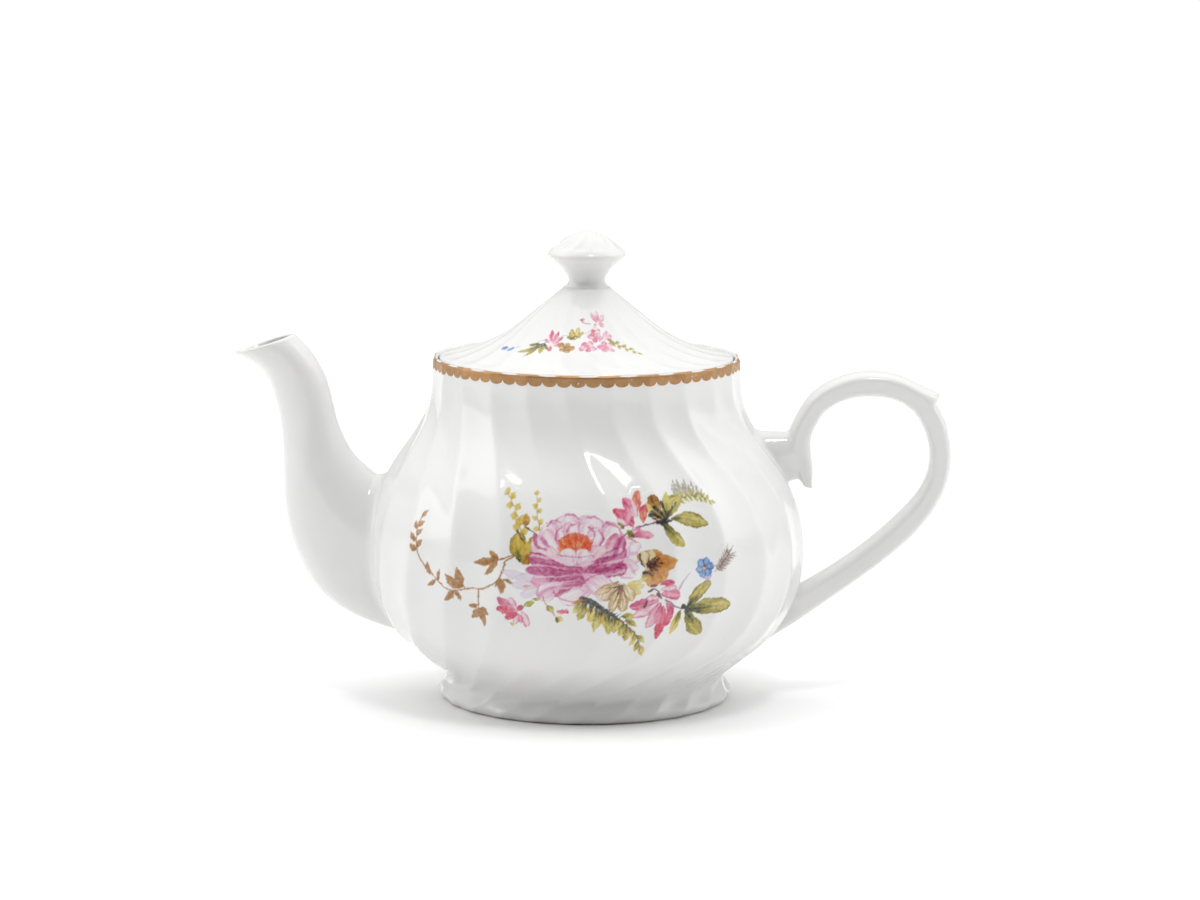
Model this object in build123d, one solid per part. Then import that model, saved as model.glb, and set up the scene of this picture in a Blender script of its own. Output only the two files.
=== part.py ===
from build123d import *

import os
from math import cos, pi, radians, sin

# Swirl-fluted porcelain teapot: a pot with its spout and handle, and a lid that lifts out.
# Millimetres. The origin is the centre of the foot, where it stands, +Z is up, the spout
# points along -X, the handle along +X and the front of the pot faces -Y.

# ---- driving dimensions ----

RIM_HEIGHT = 115.5  # foot to lip of the pot
RIM_RADIUS = 51.4
FLUTES = 24
FLUTE_START = 8.5  # degrees from the front to the first flute edge, at the rim
POINTS_PER_FLUTE = 4
OUTLINE_STEPS = 10  # points across half a limb
SKIN_TOLERANCE = 0.01

# The outside of the pot from the foot up: height, radius on the flute edges, how far the flutes
# have turned towards the handle there in degrees, and how deep they are hollowed.
BODY_STATIONS = [
    (0.0, 47.6, -30.0, 0.5),
    (2.4, 49.6, -26.5, 0.7),
    (4.8, 48.1, -22.5, 0.7),
    (7.2, 46.9, -18.5, 0.6),
    (10.0, 48.2, -13.0, 0.6),
    (13.0, 51.9, -7.5, 0.7),
    (16.5, 56.4, -2.0, 0.8),
    (21.0, 61.7, 3.5, 0.9),
    (27.4, 66.9, 8.5, 0.9),
    (34.0, 70.4, 11.3, 0.9),
    (42.0, 72.8, 13.0, 0.9),
    (50.0, 73.5, 14.5, 0.9),
    (58.0, 73.0, 15.0, 0.9),
    (66.0, 71.3, 14.7, 0.9),
    (73.0, 68.6, 13.5, 0.9),
    (80.0, 64.7, 11.0, 0.9),
    (86.0, 60.3, 8.0, 0.85),
    (91.0, 56.8, 5.5, 0.8),
    (97.5, 53.6, 2.5, 0.75),
    (106.0, 51.9, 0.3, 0.65),
    (RIM_HEIGHT, RIM_RADIUS, 0.0, 0.4),
]

# gallery: the ledge inside the mouth that the lid sits on
LEDGE_HEIGHT = 112.6
LEDGE_INNER = 45.0
LEDGE_OUTER = 49.4
NOTCH_RADIUS = 47.6
NOTCH_HALF_ANGLE = 14.0
NOTCH_BOTTOM = 104.0

# inside of the pot, from the floor up: radius and height
INSIDE_CURVE = [
    (46.5, 12.6),
    (58.0, 21.6),
    (66.4, 34.0),
    (69.6, 50.0),
    (67.4, 66.0),
    (60.6, 80.0),
    (52.6, 91.0),
    (48.6, 100.0),
]
THROAT_RADIUS = 48.0

# foot
FOOT_RECESS_RADIUS = 43.4
FOOT_RECESS_HEIGHT = 4.6
FLOOR_HEIGHT = 8.6

# strainer: holes through the pot's wall behind the spout
STRAINER_HOLE_RADIUS = 1.9
STRAINER_ROWS = 5
STRAINER_PITCH = 6.6
STRAINER_CENTRE_HEIGHT = 48.0

# gold line round the outside of the rim
GOLD_HEIGHT = 3.6
GOLD_THICKNESS = 0.15

# Spout stations from the root to the mouth: the outer edge and the inner edge in the plane
# of the spout, as (x, z), and the half width across.
SPOUT_STATIONS = [
    ((-58.0, 20.5), (-58.0, 77.0), 15.5),
    ((-70.5, 24.2), (-67.6, 74.6), 15.0),
    ((-85.8, 32.2), (-73.0, 77.2), 14.0),
    ((-96.4, 47.0), (-78.0, 82.2), 12.6),
    ((-101.0, 64.0), (-81.2, 88.0), 11.2),
    ((-101.6, 80.0), (-83.2, 93.2), 9.8),
    ((-102.4, 92.5), (-84.9, 100.6), 9.0),
    ((-104.6, 102.6), (-87.4, 108.6), 8.6),
    ((-108.4, 110.3), (-91.6, 115.9), 8.4),
    ((-117.7, 115.9), (-97.0, 122.5), 8.2),
]
SPOUT_WALL_ROOT = 3.0
SPOUT_WALL_MOUTH = 1.9

HANDLE_ROUNDNESS = 0.8  # 1 is an ellipse, less is flatter

# Handle stations round the loop, from under the arm, over the top and down to the lower root:
# outer edge and inner edge as (x, z), and the half width across.
HANDLE_STATIONS = [
    ((72.6, 72.9), (76.2, 72.2), 3.6),
    ((68.6, 79.0), (76.1, 79.0), 5.6),
    ((67.4, 88.0), (75.4, 87.4), 6.2),
    ((70.2, 95.4), (77.2, 92.8), 6.2),
    ((74.6, 102.2), (80.2, 97.2), 6.2),
    ((81.2, 107.2), (84.8, 100.2), 6.3),
    ((88.6, 110.0), (90.0, 101.8), 6.5),
    ((96.9, 110.7), (96.3, 102.3), 6.6),
    ((104.9, 109.3), (102.5, 101.3), 6.7),
    ((112.0, 105.6), (107.6, 98.8), 6.7),
    ((117.3, 99.8), (111.3, 94.9), 6.6),
    ((120.8, 93.0), (113.9, 89.4), 6.5),
    ((122.5, 84.0), (115.1, 82.8), 6.4),
    ((121.6, 74.4), (114.2, 75.9), 6.4),
    ((118.0, 65.8), (111.3, 69.8), 6.5),
    ((112.4, 58.0), (106.3, 63.9), 6.6),
    ((104.3, 50.0), (98.6, 56.6), 6.8),
    ((94.6, 42.3), (89.4, 49.2), 7.0),
    ((82.7, 33.8), (78.0, 41.6), 7.3),
    ((72.5, 26.6), (67.5, 35.6), 7.7),
    ((60.0, 18.6), (54.5, 28.6), 8.0),
]
THUMB_REST_STATIONS = [
    ((104.9, 109.2), (104.0, 103.5), 5.6),
    ((112.4, 106.4), (110.6, 101.6), 5.0),
    ((117.9, 103.6), (116.8, 100.6), 3.4),
]
ARM_STATIONS = [
    ((50.0, 71.0), (50.0, 90.6), 7.4),
    ((60.0, 71.6), (60.0, 90.3), 7.0),
    ((71.5, 74.0), (71.5, 90.3), 6.0),
]

# lid
LID_RADIUS = 49.1
LID_EDGE_HEIGHT = 115.6
COLLAR_OUTER = 44.6
COLLAR_INNER = 41.6
COLLAR_BOTTOM = 104.0
LID_TOP_RADIUS = 7.6
LID_TOP_HEIGHT = 138.8
LID_TOP_CURVE = [(11.7, 135.3), (18.4, 129.9), (25.0, 124.7), (34.4, 119.5), (42.5, 116.9)]
LID_UNDER_CURVE = [
    (COLLAR_INNER, 113.6),
    (34.0, 116.0),
    (25.0, 120.9),
    (18.0, 126.2),
    (11.0, 131.8),
    (5.0, 134.6),
]
VENT_RADIUS = 1.6
VENT_REACH = 17.0  # axis of the lid to the vent
VENT_ANGLE = 60.0  # degrees from the handle round to the back

# lug that locks the lid under the gallery when the lid is turned
LUG_RADIUS = 46.9
LUG_HALF_ANGLE = 10.0
LUG_BOTTOM = 104.6
LUG_TOP = 108.4

# knob
KNOB_HEIGHT = 157.6
KNOB_RADIUS = 13.0
KNOB_RING_HEIGHT = 149.6
KNOB_FOOT_RADIUS = 7.0
KNOB_WAIST_RADIUS = 6.1
KNOB_WAIST_HEIGHT = 140.9


# ---- helpers ----


def flute_depth_at(angle, start, depth):
    """How far the surface lies inside the flute edges: hollow channels that meet in soft edges."""
    phase = (angle - start) / (360 / FLUTES) % 1.0
    return depth * sin(pi * phase) ** 0.8


def fluted_ring(height, radius, turn, depth):
    """Closed outline of the pot's outside at one height."""
    start = FLUTE_START + turn - 90
    count = FLUTES * POINTS_PER_FLUTE
    points = []
    for index in range(count):
        angle = start + 360 * index / count
        r = radius - flute_depth_at(angle, start, depth)
        points.append((r * cos(radians(angle)), r * sin(radians(angle)), height))
    return Wire([Edge.make_spline(points, periodic=True)])


def fluted_solid(stations, growth=0.0):
    """Solid with the fluted outside of the pot, grown outwards by growth."""
    rings = [fluted_ring(z, r + growth, turn, depth) for z, r, turn, depth in stations]
    return Solid.make_loft(rings)


def station_ends(station):
    """Where the outline of a station meets the XZ plane."""
    return Vector(station[0][0], 0, station[0][1]), Vector(station[1][0], 0, station[1][1])


def half_outline(station, roundness, side):
    """Points of half an outline across a limb, on one side of the XZ plane, from end to end.

    A roundness of 1 gives an ellipse, and less gives flatter sides with rounder corners between.
    """
    a, b = station_ends(station)
    middle = (a + b) / 2
    reach = (b - a) / 2
    points = [b]
    for index in range(1, OUTLINE_STEPS):
        angle = pi * index / OUTLINE_STEPS
        along = abs(cos(angle)) ** roundness * (1 if cos(angle) > 0 else -1)
        out = side * station[2] * sin(angle) ** roundness
        points.append(middle + reach * along + Vector(0, out, 0))
    points.append(a)
    return points


def end_edge(skin, station):
    """The edge of half a limb's skin that runs across it at an end station."""
    a, b = station_ends(station)

    def miss(edge):
        forwards = (edge @ 0 - a).length + (edge @ 1 - b).length
        backwards = (edge @ 0 - b).length + (edge @ 1 - a).length
        return min(forwards, backwards)

    return min(skin.edges(), key=miss)


def limb(stations, roundness=1.0):
    """Solid with a smooth skin through the outlines of a list of stations."""
    skins = []
    for side in (1, -1):
        grid = [half_outline(station, roundness, side) for station in stations]
        skins.append(
            Face.make_surface_from_array_of_points(grid, tol=SKIN_TOLERANCE, min_deg=3, max_deg=3)
        )
    ends = []
    for station in (stations[0], stations[-1]):
        ends.append(Face(Wire([end_edge(skin, station) for skin in skins])))
    return Solid(Shell(Face.sew_faces(skins + ends)[0]))


def shrunk(station, wall):
    """The same station, with its ellipse smaller by wall all round."""
    a = Vector(*station[0])
    b = Vector(*station[1])
    step = (b - a).normalized() * wall
    inner_a = a + step
    inner_b = b - step
    return ((inner_a.X, inner_a.Y), (inner_b.X, inner_b.Y), station[2] - wall)


def turned(edges):
    """Solid of revolution about the pot's axis of a closed outline drawn in the XZ plane."""
    return revolve(make_face(edges), axis=Axis.Z, revolution_arc=360)


def polyline(*points):
    """Straight run of edges through (radius, height) points in the XZ plane."""
    return Polyline([(x, 0, z) for x, z in points])


def curve(*points):
    """Smooth edge through (radius, height) points in the XZ plane."""
    return Spline([(x, 0, z) for x, z in points])


def sector(inner, outer, bottom, top, half_angle):
    """Part of a ring, centred on the handle's side."""
    with BuildPart() as part:
        with BuildSketch(Plane.XY.offset(bottom)):
            Circle(outer)
            Circle(inner, mode=Mode.SUBTRACT)
            far = 2 * outer
            reach = far * sin(radians(half_angle)) / cos(radians(half_angle))
            wedge = Polygon((0, 0), (far, -reach), (far, reach), align=None, mode=Mode.PRIVATE)
            add(wedge, mode=Mode.INTERSECT)
        extrude(amount=top - bottom)
    return part.part


# ---- sub-parts ----


def pot_cavity():
    """The space inside the pot, up through the gallery and the lid's recess."""
    floor = polyline((0, RIM_HEIGHT + 5), (0, FLOOR_HEIGHT), (36, FLOOR_HEIGHT))
    side = curve((36, FLOOR_HEIGHT), *INSIDE_CURVE, (THROAT_RADIUS, 105.0))
    gallery = polyline(
        (THROAT_RADIUS, 105.0),
        (THROAT_RADIUS, 106.0),
        (LEDGE_INNER, 109.6),
        (LEDGE_INNER, LEDGE_HEIGHT),
        (LEDGE_OUTER, LEDGE_HEIGHT),
        (LEDGE_OUTER, RIM_HEIGHT + 5),
        (0, RIM_HEIGHT + 5),
    )
    return turned([floor, side, gallery])


def strainer_holes():
    """Drills for the strainer, in staggered rows."""
    drills = []
    for row in range(STRAINER_ROWS):
        holes = 3 - row % 2
        height = STRAINER_CENTRE_HEIGHT + (row - (STRAINER_ROWS - 1) / 2) * STRAINER_PITCH
        for index in range(holes):
            across = (index - (holes - 1) / 2) * STRAINER_PITCH
            plane = Plane(origin=(-60, across, height), x_dir=(0, 1, 0), z_dir=(-1, 0, 0))
            drills.append(Solid.make_cylinder(STRAINER_HOLE_RADIUS, 20, plane))
    return drills


def make_pot_body(outside):
    recess = Solid.make_cone(FOOT_RECESS_RADIUS, FOOT_RECESS_RADIUS - 4, FOOT_RECESS_HEIGHT)
    notch = sector(LEDGE_INNER - 3, NOTCH_RADIUS, NOTCH_BOTTOM, LEDGE_HEIGHT + 1, NOTCH_HALF_ANGLE)
    return outside.cut(pot_cavity().solid(), recess, notch.solid(), *strainer_holes())


def make_spout(outside):
    last = len(SPOUT_STATIONS) - 1
    bore_stations = []
    for index, station in enumerate(SPOUT_STATIONS):
        wall = SPOUT_WALL_ROOT + (SPOUT_WALL_MOUTH - SPOUT_WALL_ROOT) * index / last
        bore_stations.append(shrunk(station, wall))
    return limb(SPOUT_STATIONS).cut(limb(bore_stations), outside)


def make_handle(outside):
    loop = limb(HANDLE_STATIONS, HANDLE_ROUNDNESS)
    whole = loop.fuse(limb(ARM_STATIONS, HANDLE_ROUNDNESS), limb(THUMB_REST_STATIONS))
    return whole.cut(outside)


def make_gold_rim_band(outside):
    grown = fluted_solid(BODY_STATIONS, GOLD_THICKNESS)
    ring = Solid.make_cylinder(RIM_RADIUS + 5, GOLD_HEIGHT, Plane.XY.offset(RIM_HEIGHT - GOLD_HEIGHT))
    return grown.intersect(ring)[0].cut(outside)


def make_lid():
    crown = polyline((0, LID_TOP_HEIGHT), (LID_TOP_RADIUS, LID_TOP_HEIGHT))
    top = curve((LID_TOP_RADIUS, LID_TOP_HEIGHT), *LID_TOP_CURVE, (LID_RADIUS, LID_EDGE_HEIGHT))
    flange = polyline(
        (LID_RADIUS, LID_EDGE_HEIGHT),
        (LID_RADIUS, LEDGE_HEIGHT),
        (COLLAR_OUTER, LEDGE_HEIGHT),
        (COLLAR_OUTER, COLLAR_BOTTOM),
        (COLLAR_INNER, COLLAR_BOTTOM),
        LID_UNDER_CURVE[0],
    )
    under = curve(*LID_UNDER_CURVE)
    close = polyline(LID_UNDER_CURVE[-1], (0, 134.8), (0, LID_TOP_HEIGHT))
    shell = turned([crown, top, flange, under, close])
    at = radians(VENT_ANGLE)
    foot = (VENT_REACH * cos(at), VENT_REACH * sin(at), LEDGE_HEIGHT)
    vent = Solid.make_cylinder(VENT_RADIUS, 30, Plane(origin=foot))
    return shell.cut(vent)


def make_lid_lug():
    return sector(COLLAR_OUTER, LUG_RADIUS, LUG_BOTTOM, LUG_TOP, LUG_HALF_ANGLE)


def make_lid_knob():
    base = polyline((0, LID_TOP_HEIGHT), (KNOB_FOOT_RADIUS, LID_TOP_HEIGHT))
    ring = (KNOB_RADIUS, KNOB_RING_HEIGHT)
    waist = (KNOB_WAIST_RADIUS, KNOB_WAIST_HEIGHT)
    under = curve((KNOB_FOOT_RADIUS, LID_TOP_HEIGHT), waist, (8.2, 144.6), (11.6, 148.0), ring)
    dome = curve(ring, (12.2, 151.0), (8.0, 154.4), (3.6, 156.9), (0, KNOB_HEIGHT))
    axis = polyline((0, KNOB_HEIGHT), (0, LID_TOP_HEIGHT))
    return turned([base, under, dome, axis])


def main():
    os.makedirs("parts", exist_ok=True)
    outside = fluted_solid(BODY_STATIONS)
    nodes = {
        "pot_body": make_pot_body(outside),
        "spout": make_spout(outside),
        "handle": make_handle(outside),
        "gold_rim_band": make_gold_rim_band(outside),
        "lid": make_lid(),
        "lid_lug": make_lid_lug(),
        "lid_knob": make_lid_knob(),
    }
    for name, shape in nodes.items():
        shape.label = name
        export_step(shape, f"parts/{name}.step")
        print(name, len(shape.solids()), round(shape.volume / 1000, 2), "cm3")


main()
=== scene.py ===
import math

import bmesh
import bpy
import numpy as np
from mathutils import Matrix, Vector
from mathutils.bvhtree import BVHTree


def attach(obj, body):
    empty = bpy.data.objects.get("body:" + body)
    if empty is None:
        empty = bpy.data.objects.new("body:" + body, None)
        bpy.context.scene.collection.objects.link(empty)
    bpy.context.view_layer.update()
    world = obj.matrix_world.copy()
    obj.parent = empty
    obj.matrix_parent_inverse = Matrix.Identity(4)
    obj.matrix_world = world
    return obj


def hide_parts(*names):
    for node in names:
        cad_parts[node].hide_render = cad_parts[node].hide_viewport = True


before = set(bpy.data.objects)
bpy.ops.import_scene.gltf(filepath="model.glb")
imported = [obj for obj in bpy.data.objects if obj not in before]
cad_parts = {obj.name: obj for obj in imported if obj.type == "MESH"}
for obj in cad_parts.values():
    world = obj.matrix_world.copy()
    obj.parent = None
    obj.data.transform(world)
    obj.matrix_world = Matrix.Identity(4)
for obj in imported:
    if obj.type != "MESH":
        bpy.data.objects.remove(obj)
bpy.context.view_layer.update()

# Looks of a swirl-fluted porcelain teapot. Shapes are worked out in millimetres in the frame of
# the CAD model and turned into metres when a mesh is made.

MM = 0.001

# ---- shapes: the same driving dimensions as the CAD model ----

FLUTES = 24
FLUTE_START = 8.5  # degrees from the front to the first flute edge, at the rim
EDGE_SOFTNESS = 0.11  # how rounded the edges between flutes are

RIM_HEIGHT = 115.5
RIM_RADIUS = 51.4
LIP_RADIUS = 0.95
LIP_CENTRE = RIM_HEIGHT - LIP_RADIUS
LEDGE_HEIGHT = 112.6
LEDGE_INNER = 45.0
LEDGE_OUTER = 49.5
NOTCH_RADIUS = 47.6
NOTCH_HALF_ANGLE = 14.0

# outside of the pot: height, radius on the flute edges, turn of the flutes in degrees, flute depth
BODY_STATIONS = [
    (0, 47.6, -30, 0.5), (2.4, 49.6, -26.5, 0.7), (4.8, 48.1, -22.5, 0.7), (7.2, 46.9, -18.5, 0.6),
    (10, 48.2, -13, 0.6), (13, 51.9, -7.5, 0.7), (16.5, 56.4, -2, 0.8), (21, 61.7, 3.5, 0.9),
    (27.4, 66.9, 8.5, 0.9), (34, 70.4, 11.3, 0.9), (42, 72.8, 13, 0.9), (50, 73.5, 14.5, 0.9),
    (58, 73, 15, 0.9), (66, 71.3, 14.7, 0.9), (73, 68.6, 13.5, 0.9), (80, 64.7, 11, 0.9),
    (86, 60.3, 8, 0.85), (91, 56.8, 5.5, 0.8), (97.5, 53.6, 2.5, 0.75), (106, 51.9, 0.3, 0.65),
    (RIM_HEIGHT, RIM_RADIUS, 0, 0.4),
]
# radius and height of the recess under the foot, and of the tea chamber from the ledge down
UNDERSIDE = [
    (0, 4.6), (12, 4.6), (24, 4.6), (34, 4.6), (38.6, 4.5), (40.6, 3.6), (42.4, 1.6), (43.3, 0.5), (44, 0),
    (46.6, 0), (47.3, 0.2),
]
INSIDE = [
    (48, 105), (48.6, 100), (52.6, 91), (60.6, 80), (67.4, 66), (69.6, 50), (66.4, 34), (58, 21.6),
    (46.5, 12.6), (36, 8.7), (24, 8.6), (12, 8.6), (0, 8.6),
]
INSIDE_FLUTE_DEPTH = 0.35
BARE_FOOT_HEIGHT = 0.3  # the unglazed ring is lower than this
BARE_FOOT_RADIUS = 43.0  # and wider than this

# spout and handle: outer edge and inner edge as (x, z), and half width across
SPOUT_STATIONS = [
    ((-58, 20.5), (-58, 77), 15.5), ((-70.5, 24.2), (-67.6, 74.6), 15), ((-85.8, 32.2), (-73, 77.2), 14),
    ((-96.4, 47), (-78, 82.2), 12.6), ((-101, 64), (-81.2, 88), 11.2), ((-101.6, 80), (-83.2, 93.2), 9.8),
    ((-102.4, 92.5), (-84.9, 100.6), 9), ((-104.6, 102.6), (-87.4, 108.6), 8.6),
    ((-108.4, 110.3), (-91.6, 115.9), 8.4), ((-117.2, 115.7), (-97.2, 122), 8.2),
]
SPOUT_WALL = (3.0, 1.9)  # at the root and at the mouth
SPOUT_LIP_BULGE = 0.8
SPOUT_FILLET = 3.4
BORE_FILLET = 0.6
HANDLE_FILLET = 3.0
HANDLE_TIP_DOME = 1.6
HANDLE_GROOVE_WIDTH = 0.45  # in halves of the strap
HANDLE_GROOVE_DEPTH = 0.1  # as a share of the half width
ARM_FILLETS = (2.2, 1.2)  # at the pot and at the loop
HANDLE_STATIONS = [
    ((72.6, 72.9), (76.2, 72.2), 3.6), ((68.6, 79), (76.1, 79), 5.6), ((67.4, 88), (75.4, 87.4), 6.2),
    ((70.2, 95.4), (77.2, 92.8), 6.2), ((74.6, 102.2), (80.2, 97.2), 6.2),
    ((81.2, 107.2), (84.8, 100.2), 6.3), ((88.6, 110), (90, 101.8), 6.5),
    ((96.9, 110.7), (96.3, 102.3), 6.6), ((104.9, 109.3), (102.5, 101.3), 6.7),
    ((112, 105.6), (107.6, 98.8), 6.7), ((117.3, 99.8), (111.3, 94.9), 6.6),
    ((120.8, 93), (113.9, 89.4), 6.5), ((122.5, 84), (115.1, 82.8), 6.4),
    ((121.6, 74.4), (114.2, 75.9), 6.4), ((118, 65.8), (111.3, 69.8), 6.5),
    ((112.4, 58), (106.3, 63.9), 6.6), ((104.3, 50), (98.6, 56.6), 6.8), ((94.6, 42.3), (89.4, 49.2), 7),
    ((82.7, 33.8), (78, 41.6), 7.3), ((72.5, 26.6), (67.5, 35.6), 7.7), ((60, 18.6), (54.5, 28.6), 8),
]
ARM_STATIONS = [((54, 71.2), (54, 90.5), 7.2), ((62, 71.8), (62, 90.3), 6.6), ((73, 75), (73, 90), 5)]
THUMB_REST = (118.3, 103.4)  # tip of the thumb rest, as (x, z)
THUMB_REST_RISE = 10.0  # how far before the tip the loop starts to swell
THUMB_REST_DROP = 2.6  # how quickly it falls back behind the tip

# lid: radius and height of the curves
LID_RADIUS = 49.1
LID_TOP = [
    (7.6, 138.8), (11.7, 135.3), (18.4, 129.9), (25, 124.7), (34.4, 119.5), (42.5, 116.9), (48.4, 115.75),
]
LID_UNDER = [(0, 134.8), (5, 134.6), (11, 131.8), (18, 126.2), (25, 120.9), (34, 116), (41.2, 113.7)]
LID_FLUTE_DEPTH = 0.5
LID_FLUTE_TURN = 24.0  # degrees that the lid's flutes turn from the knob to the edge
LID_FADE_EDGE = 6.0  # the flutes fade out over this much at the edge
LID_FADE_KNOB = (2.0, 22.0)  # beyond the knob they are missing for the first and grow over the second
COLLAR = [
    (41.6, 113.2), (41.6, 104.5), (42.1, 104), (44.1, 104), (44.6, 104.5), (44.6, 112.3), (44.9, 112.6),
]
LID_EDGE = [(48.7, 112.6), (49.1, 113), (49.1, 115.1), (48.85, 115.55)]

# strainer holes behind the spout, and the steam vent through the lid
STRAINER_HOLE_RADIUS = 1.9
STRAINER_ROWS = 5
STRAINER_PITCH = 6.6
STRAINER_CENTRE_HEIGHT = 48.0
STRAINER_START = -60.0  # x of the drills' starts, inside the pot
STRAINER_LENGTH = 14.0
VENT_RADIUS = 1.6
VENT_REACH = 17.0  # from the axis
VENT_ANGLE = 60.0  # degrees from the handle towards the back
VENT_LENGTH = 30.0

# knob
KNOB_STEM = [
    (7.6, 138.6), (6.5, 139.8), (6.1, 141.1), (6.9, 143.2), (9.2, 146), (11.7, 148), (12.7, 148.9),
]
KNOB_RING = [(13, 149.6), (12.6, 150.5)]
KNOB_DOME = [(11.6, 151.6), (9.2, 153.6), (6.4, 155.5), (3.6, 156.8), (1.4, 157.45), (0, 157.6)]
KNOB_FLUTES = 12
KNOB_FLUTE_DEPTH = 0.45
KNOB_FLUTE_TURN = 40.0

# gold line: scallops hang from it
GOLD_SCALLOPS = 68
GOLD_BOTTOM = 111.75
GOLD_SCALLOP_HEIGHT = 1.5
GOLD_PROUD = 0.05

# the printed films
FILM_RADIUS = 73.0  # one millimetre across the sheet is one millimetre round the pot's widest part
FILM_PROUD = 0.03
FILM_TUCK = 0.05  # the film's border is sunk this far under the glaze
FILM_MARGIN = 1.2  # clear film round the print
FILM_STEP = 0.24
LID_FILM_RADIUS = 30.0
LID_FILM_STEP = 0.2
BARE_PAPER = 250  # a dot of the sheet that is lighter than this holds no print
INK_GAMMA = 2.2


def spline(knots, values):
    """Natural cubic spline through values at rising knots; returns a function of an array."""
    x = np.asarray(knots, float)
    y = np.asarray(values, float)
    y = y.reshape(len(x), -1)
    h = np.diff(x)
    slope = np.diff(y, axis=0) / h[:, None]
    system = np.eye(len(x))
    right = np.zeros_like(y)
    for i in range(1, len(x) - 1):
        system[i, i - 1:i + 2] = h[i - 1], 2 * (h[i - 1] + h[i]), h[i]
        right[i] = 6 * (slope[i] - slope[i - 1])
    bend = np.linalg.solve(system, right)

    def at(q):
        q = np.asarray(q, float)
        k = np.clip(np.searchsorted(x, q) - 1, 0, len(h) - 1)
        step = h[k][..., None]
        a = (x[k + 1] - q)[..., None] / step
        b = 1 - a
        curve = (a ** 3 - a) * bend[k] + (b ** 3 - b) * bend[k + 1]
        return a * y[k] + b * y[k + 1] + curve * step ** 2 / 6

    return at


def reaches(line):
    """How far along a line each of its points is."""
    return np.concatenate([[0], np.cumsum(np.linalg.norm(np.diff(line, axis=0), axis=1))])


def ease(x):
    """Smooth step from 0 to 1."""
    return x * x * (3 - 2 * x)


def along(points, step):
    """Points about step apart on a smooth curve through the given ones."""
    p = np.array(points, float)
    reach = reaches(p)
    count = max(2, int(round(reach[-1] / step)) + 1)
    return spline(reach, p)(np.linspace(0, reach[-1], count))


STATIONS = np.array(BODY_STATIONS)
body_spline = spline(STATIONS[:, 0], STATIONS[:, 1:])


def flute(angle, count=FLUTES, start=FLUTE_START - 90):
    """How hollow a flute is, 0 on its edges and 1 in its middle; angle in degrees."""
    wave = np.sin(np.pi * (angle - start) * count / 360)
    soft = np.sqrt(wave ** 2 + EDGE_SOFTNESS ** 2) - EDGE_SOFTNESS
    return soft / (math.sqrt(1 + EDGE_SOFTNESS ** 2) - EDGE_SOFTNESS)


def polar(radius, angle, height):
    """Points from a radius, an angle in degrees from the handle towards the back, and a height."""
    a = np.radians(angle)
    return np.stack([radius * np.cos(a), radius * np.sin(a), height + 0 * a], -1)


def body_point(angle, height, proud=0.0):
    """Point on the outside of the pot."""
    radius, turn, depth = np.moveaxis(body_spline(height), -1, 0)
    return polar(radius - depth * flute(angle - turn) + proud, angle, height)


lid_spline = spline([r for r, _ in LID_TOP], [z for _, z in LID_TOP])


def lid_point(angle, radius, proud=0.0):
    """Point on top of the lid; its flutes are hollowed downwards and fade out at the knob and the edge."""
    fade_start, fade_reach = LID_FADE_KNOB
    from_edge = (LID_RADIUS - radius) / LID_FADE_EDGE
    from_knob = (radius - LID_TOP[0][0] - fade_start) / fade_reach
    fade = np.clip(np.minimum(from_edge, from_knob), 0, 1)
    turn = -LID_FLUTE_TURN * (1 - radius / LID_RADIUS)
    height = lid_spline(radius)[..., 0] - LID_FLUTE_DEPTH * fade * flute(angle - turn) + proud
    return polar(radius, angle, height)


def ring_rows(rows, columns, count=FLUTES, start=FLUTE_START - 90):
    """Grid of points from rows of (radius, height, turn, flute depth), one ring to a row."""
    rows = np.array(rows, float)
    angle = start + np.arange(columns) * 360 / columns + rows[:, 2:3]
    radius = rows[:, 0:1] - rows[:, 3:4] * flute(angle - rows[:, 2:3], count, start)
    return polar(radius, angle, rows[:, 1:2])


# ---- meshes ----


def grid_faces(rows, columns, closed):
    """Quads of a grid of points; closed joins the last column to the first."""
    r, c = np.meshgrid(np.arange(rows - 1), np.arange(columns if closed else columns - 1), indexing="ij")
    here, above, turn = r * columns, (r + 1) * columns, (c + 1) % columns
    return np.stack([here + c, here + turn, above + turn, above + c], -1).reshape(-1, 4)


def fan(centre, first, columns):
    """Triangles from one vertex to a ring of them."""
    return [(centre, first + c, first + (c + 1) % columns) for c in range(columns)]


def new_object(name, data):
    made = bpy.data.objects.new(name, data)
    bpy.context.scene.collection.objects.link(made)
    return made


def make_piece(name, points, faces, material, body, sharp_degrees=None):
    """Mesh object in metres that rides on a body, smooth shaded, with its normals outwards."""
    mesh = bpy.data.meshes.new(name)
    mesh.from_pydata((np.asarray(points) * MM).tolist(), [], [list(map(int, f)) for f in faces])
    tidy = bmesh.new()
    tidy.from_mesh(mesh)
    bmesh.ops.recalc_face_normals(tidy, faces=tidy.faces)
    tidy.to_mesh(mesh)
    tidy.free()
    mesh.polygons.foreach_set("use_smooth", [True] * len(mesh.polygons))
    if sharp_degrees:
        mesh.set_sharp_from_angle(angle=math.radians(sharp_degrees))
    mesh.materials.append(material)
    piece = new_object(name, mesh)
    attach(piece, body)
    return piece


def closed_rings(grid, first_point=None, last_point=None, joined=False):
    """Points and faces of a grid of rings; a point closes either end, or the last ring joins the first."""
    rows, columns = grid.shape[:2]
    points = list(grid.reshape(-1, 3))
    faces = [tuple(f) for f in grid_faces(rows, columns, True)]
    if first_point is not None:
        points.append(first_point)
        faces += fan(len(points) - 1, 0, columns)
    if last_point is not None:
        points.append(last_point)
        faces += fan(len(points) - 1, (rows - 1) * columns, columns)
    if joined:
        last = (rows - 1) * columns
        faces += [(last + c, last + (c + 1) % columns, (c + 1) % columns, c) for c in range(columns)]
    return points, faces


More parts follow.
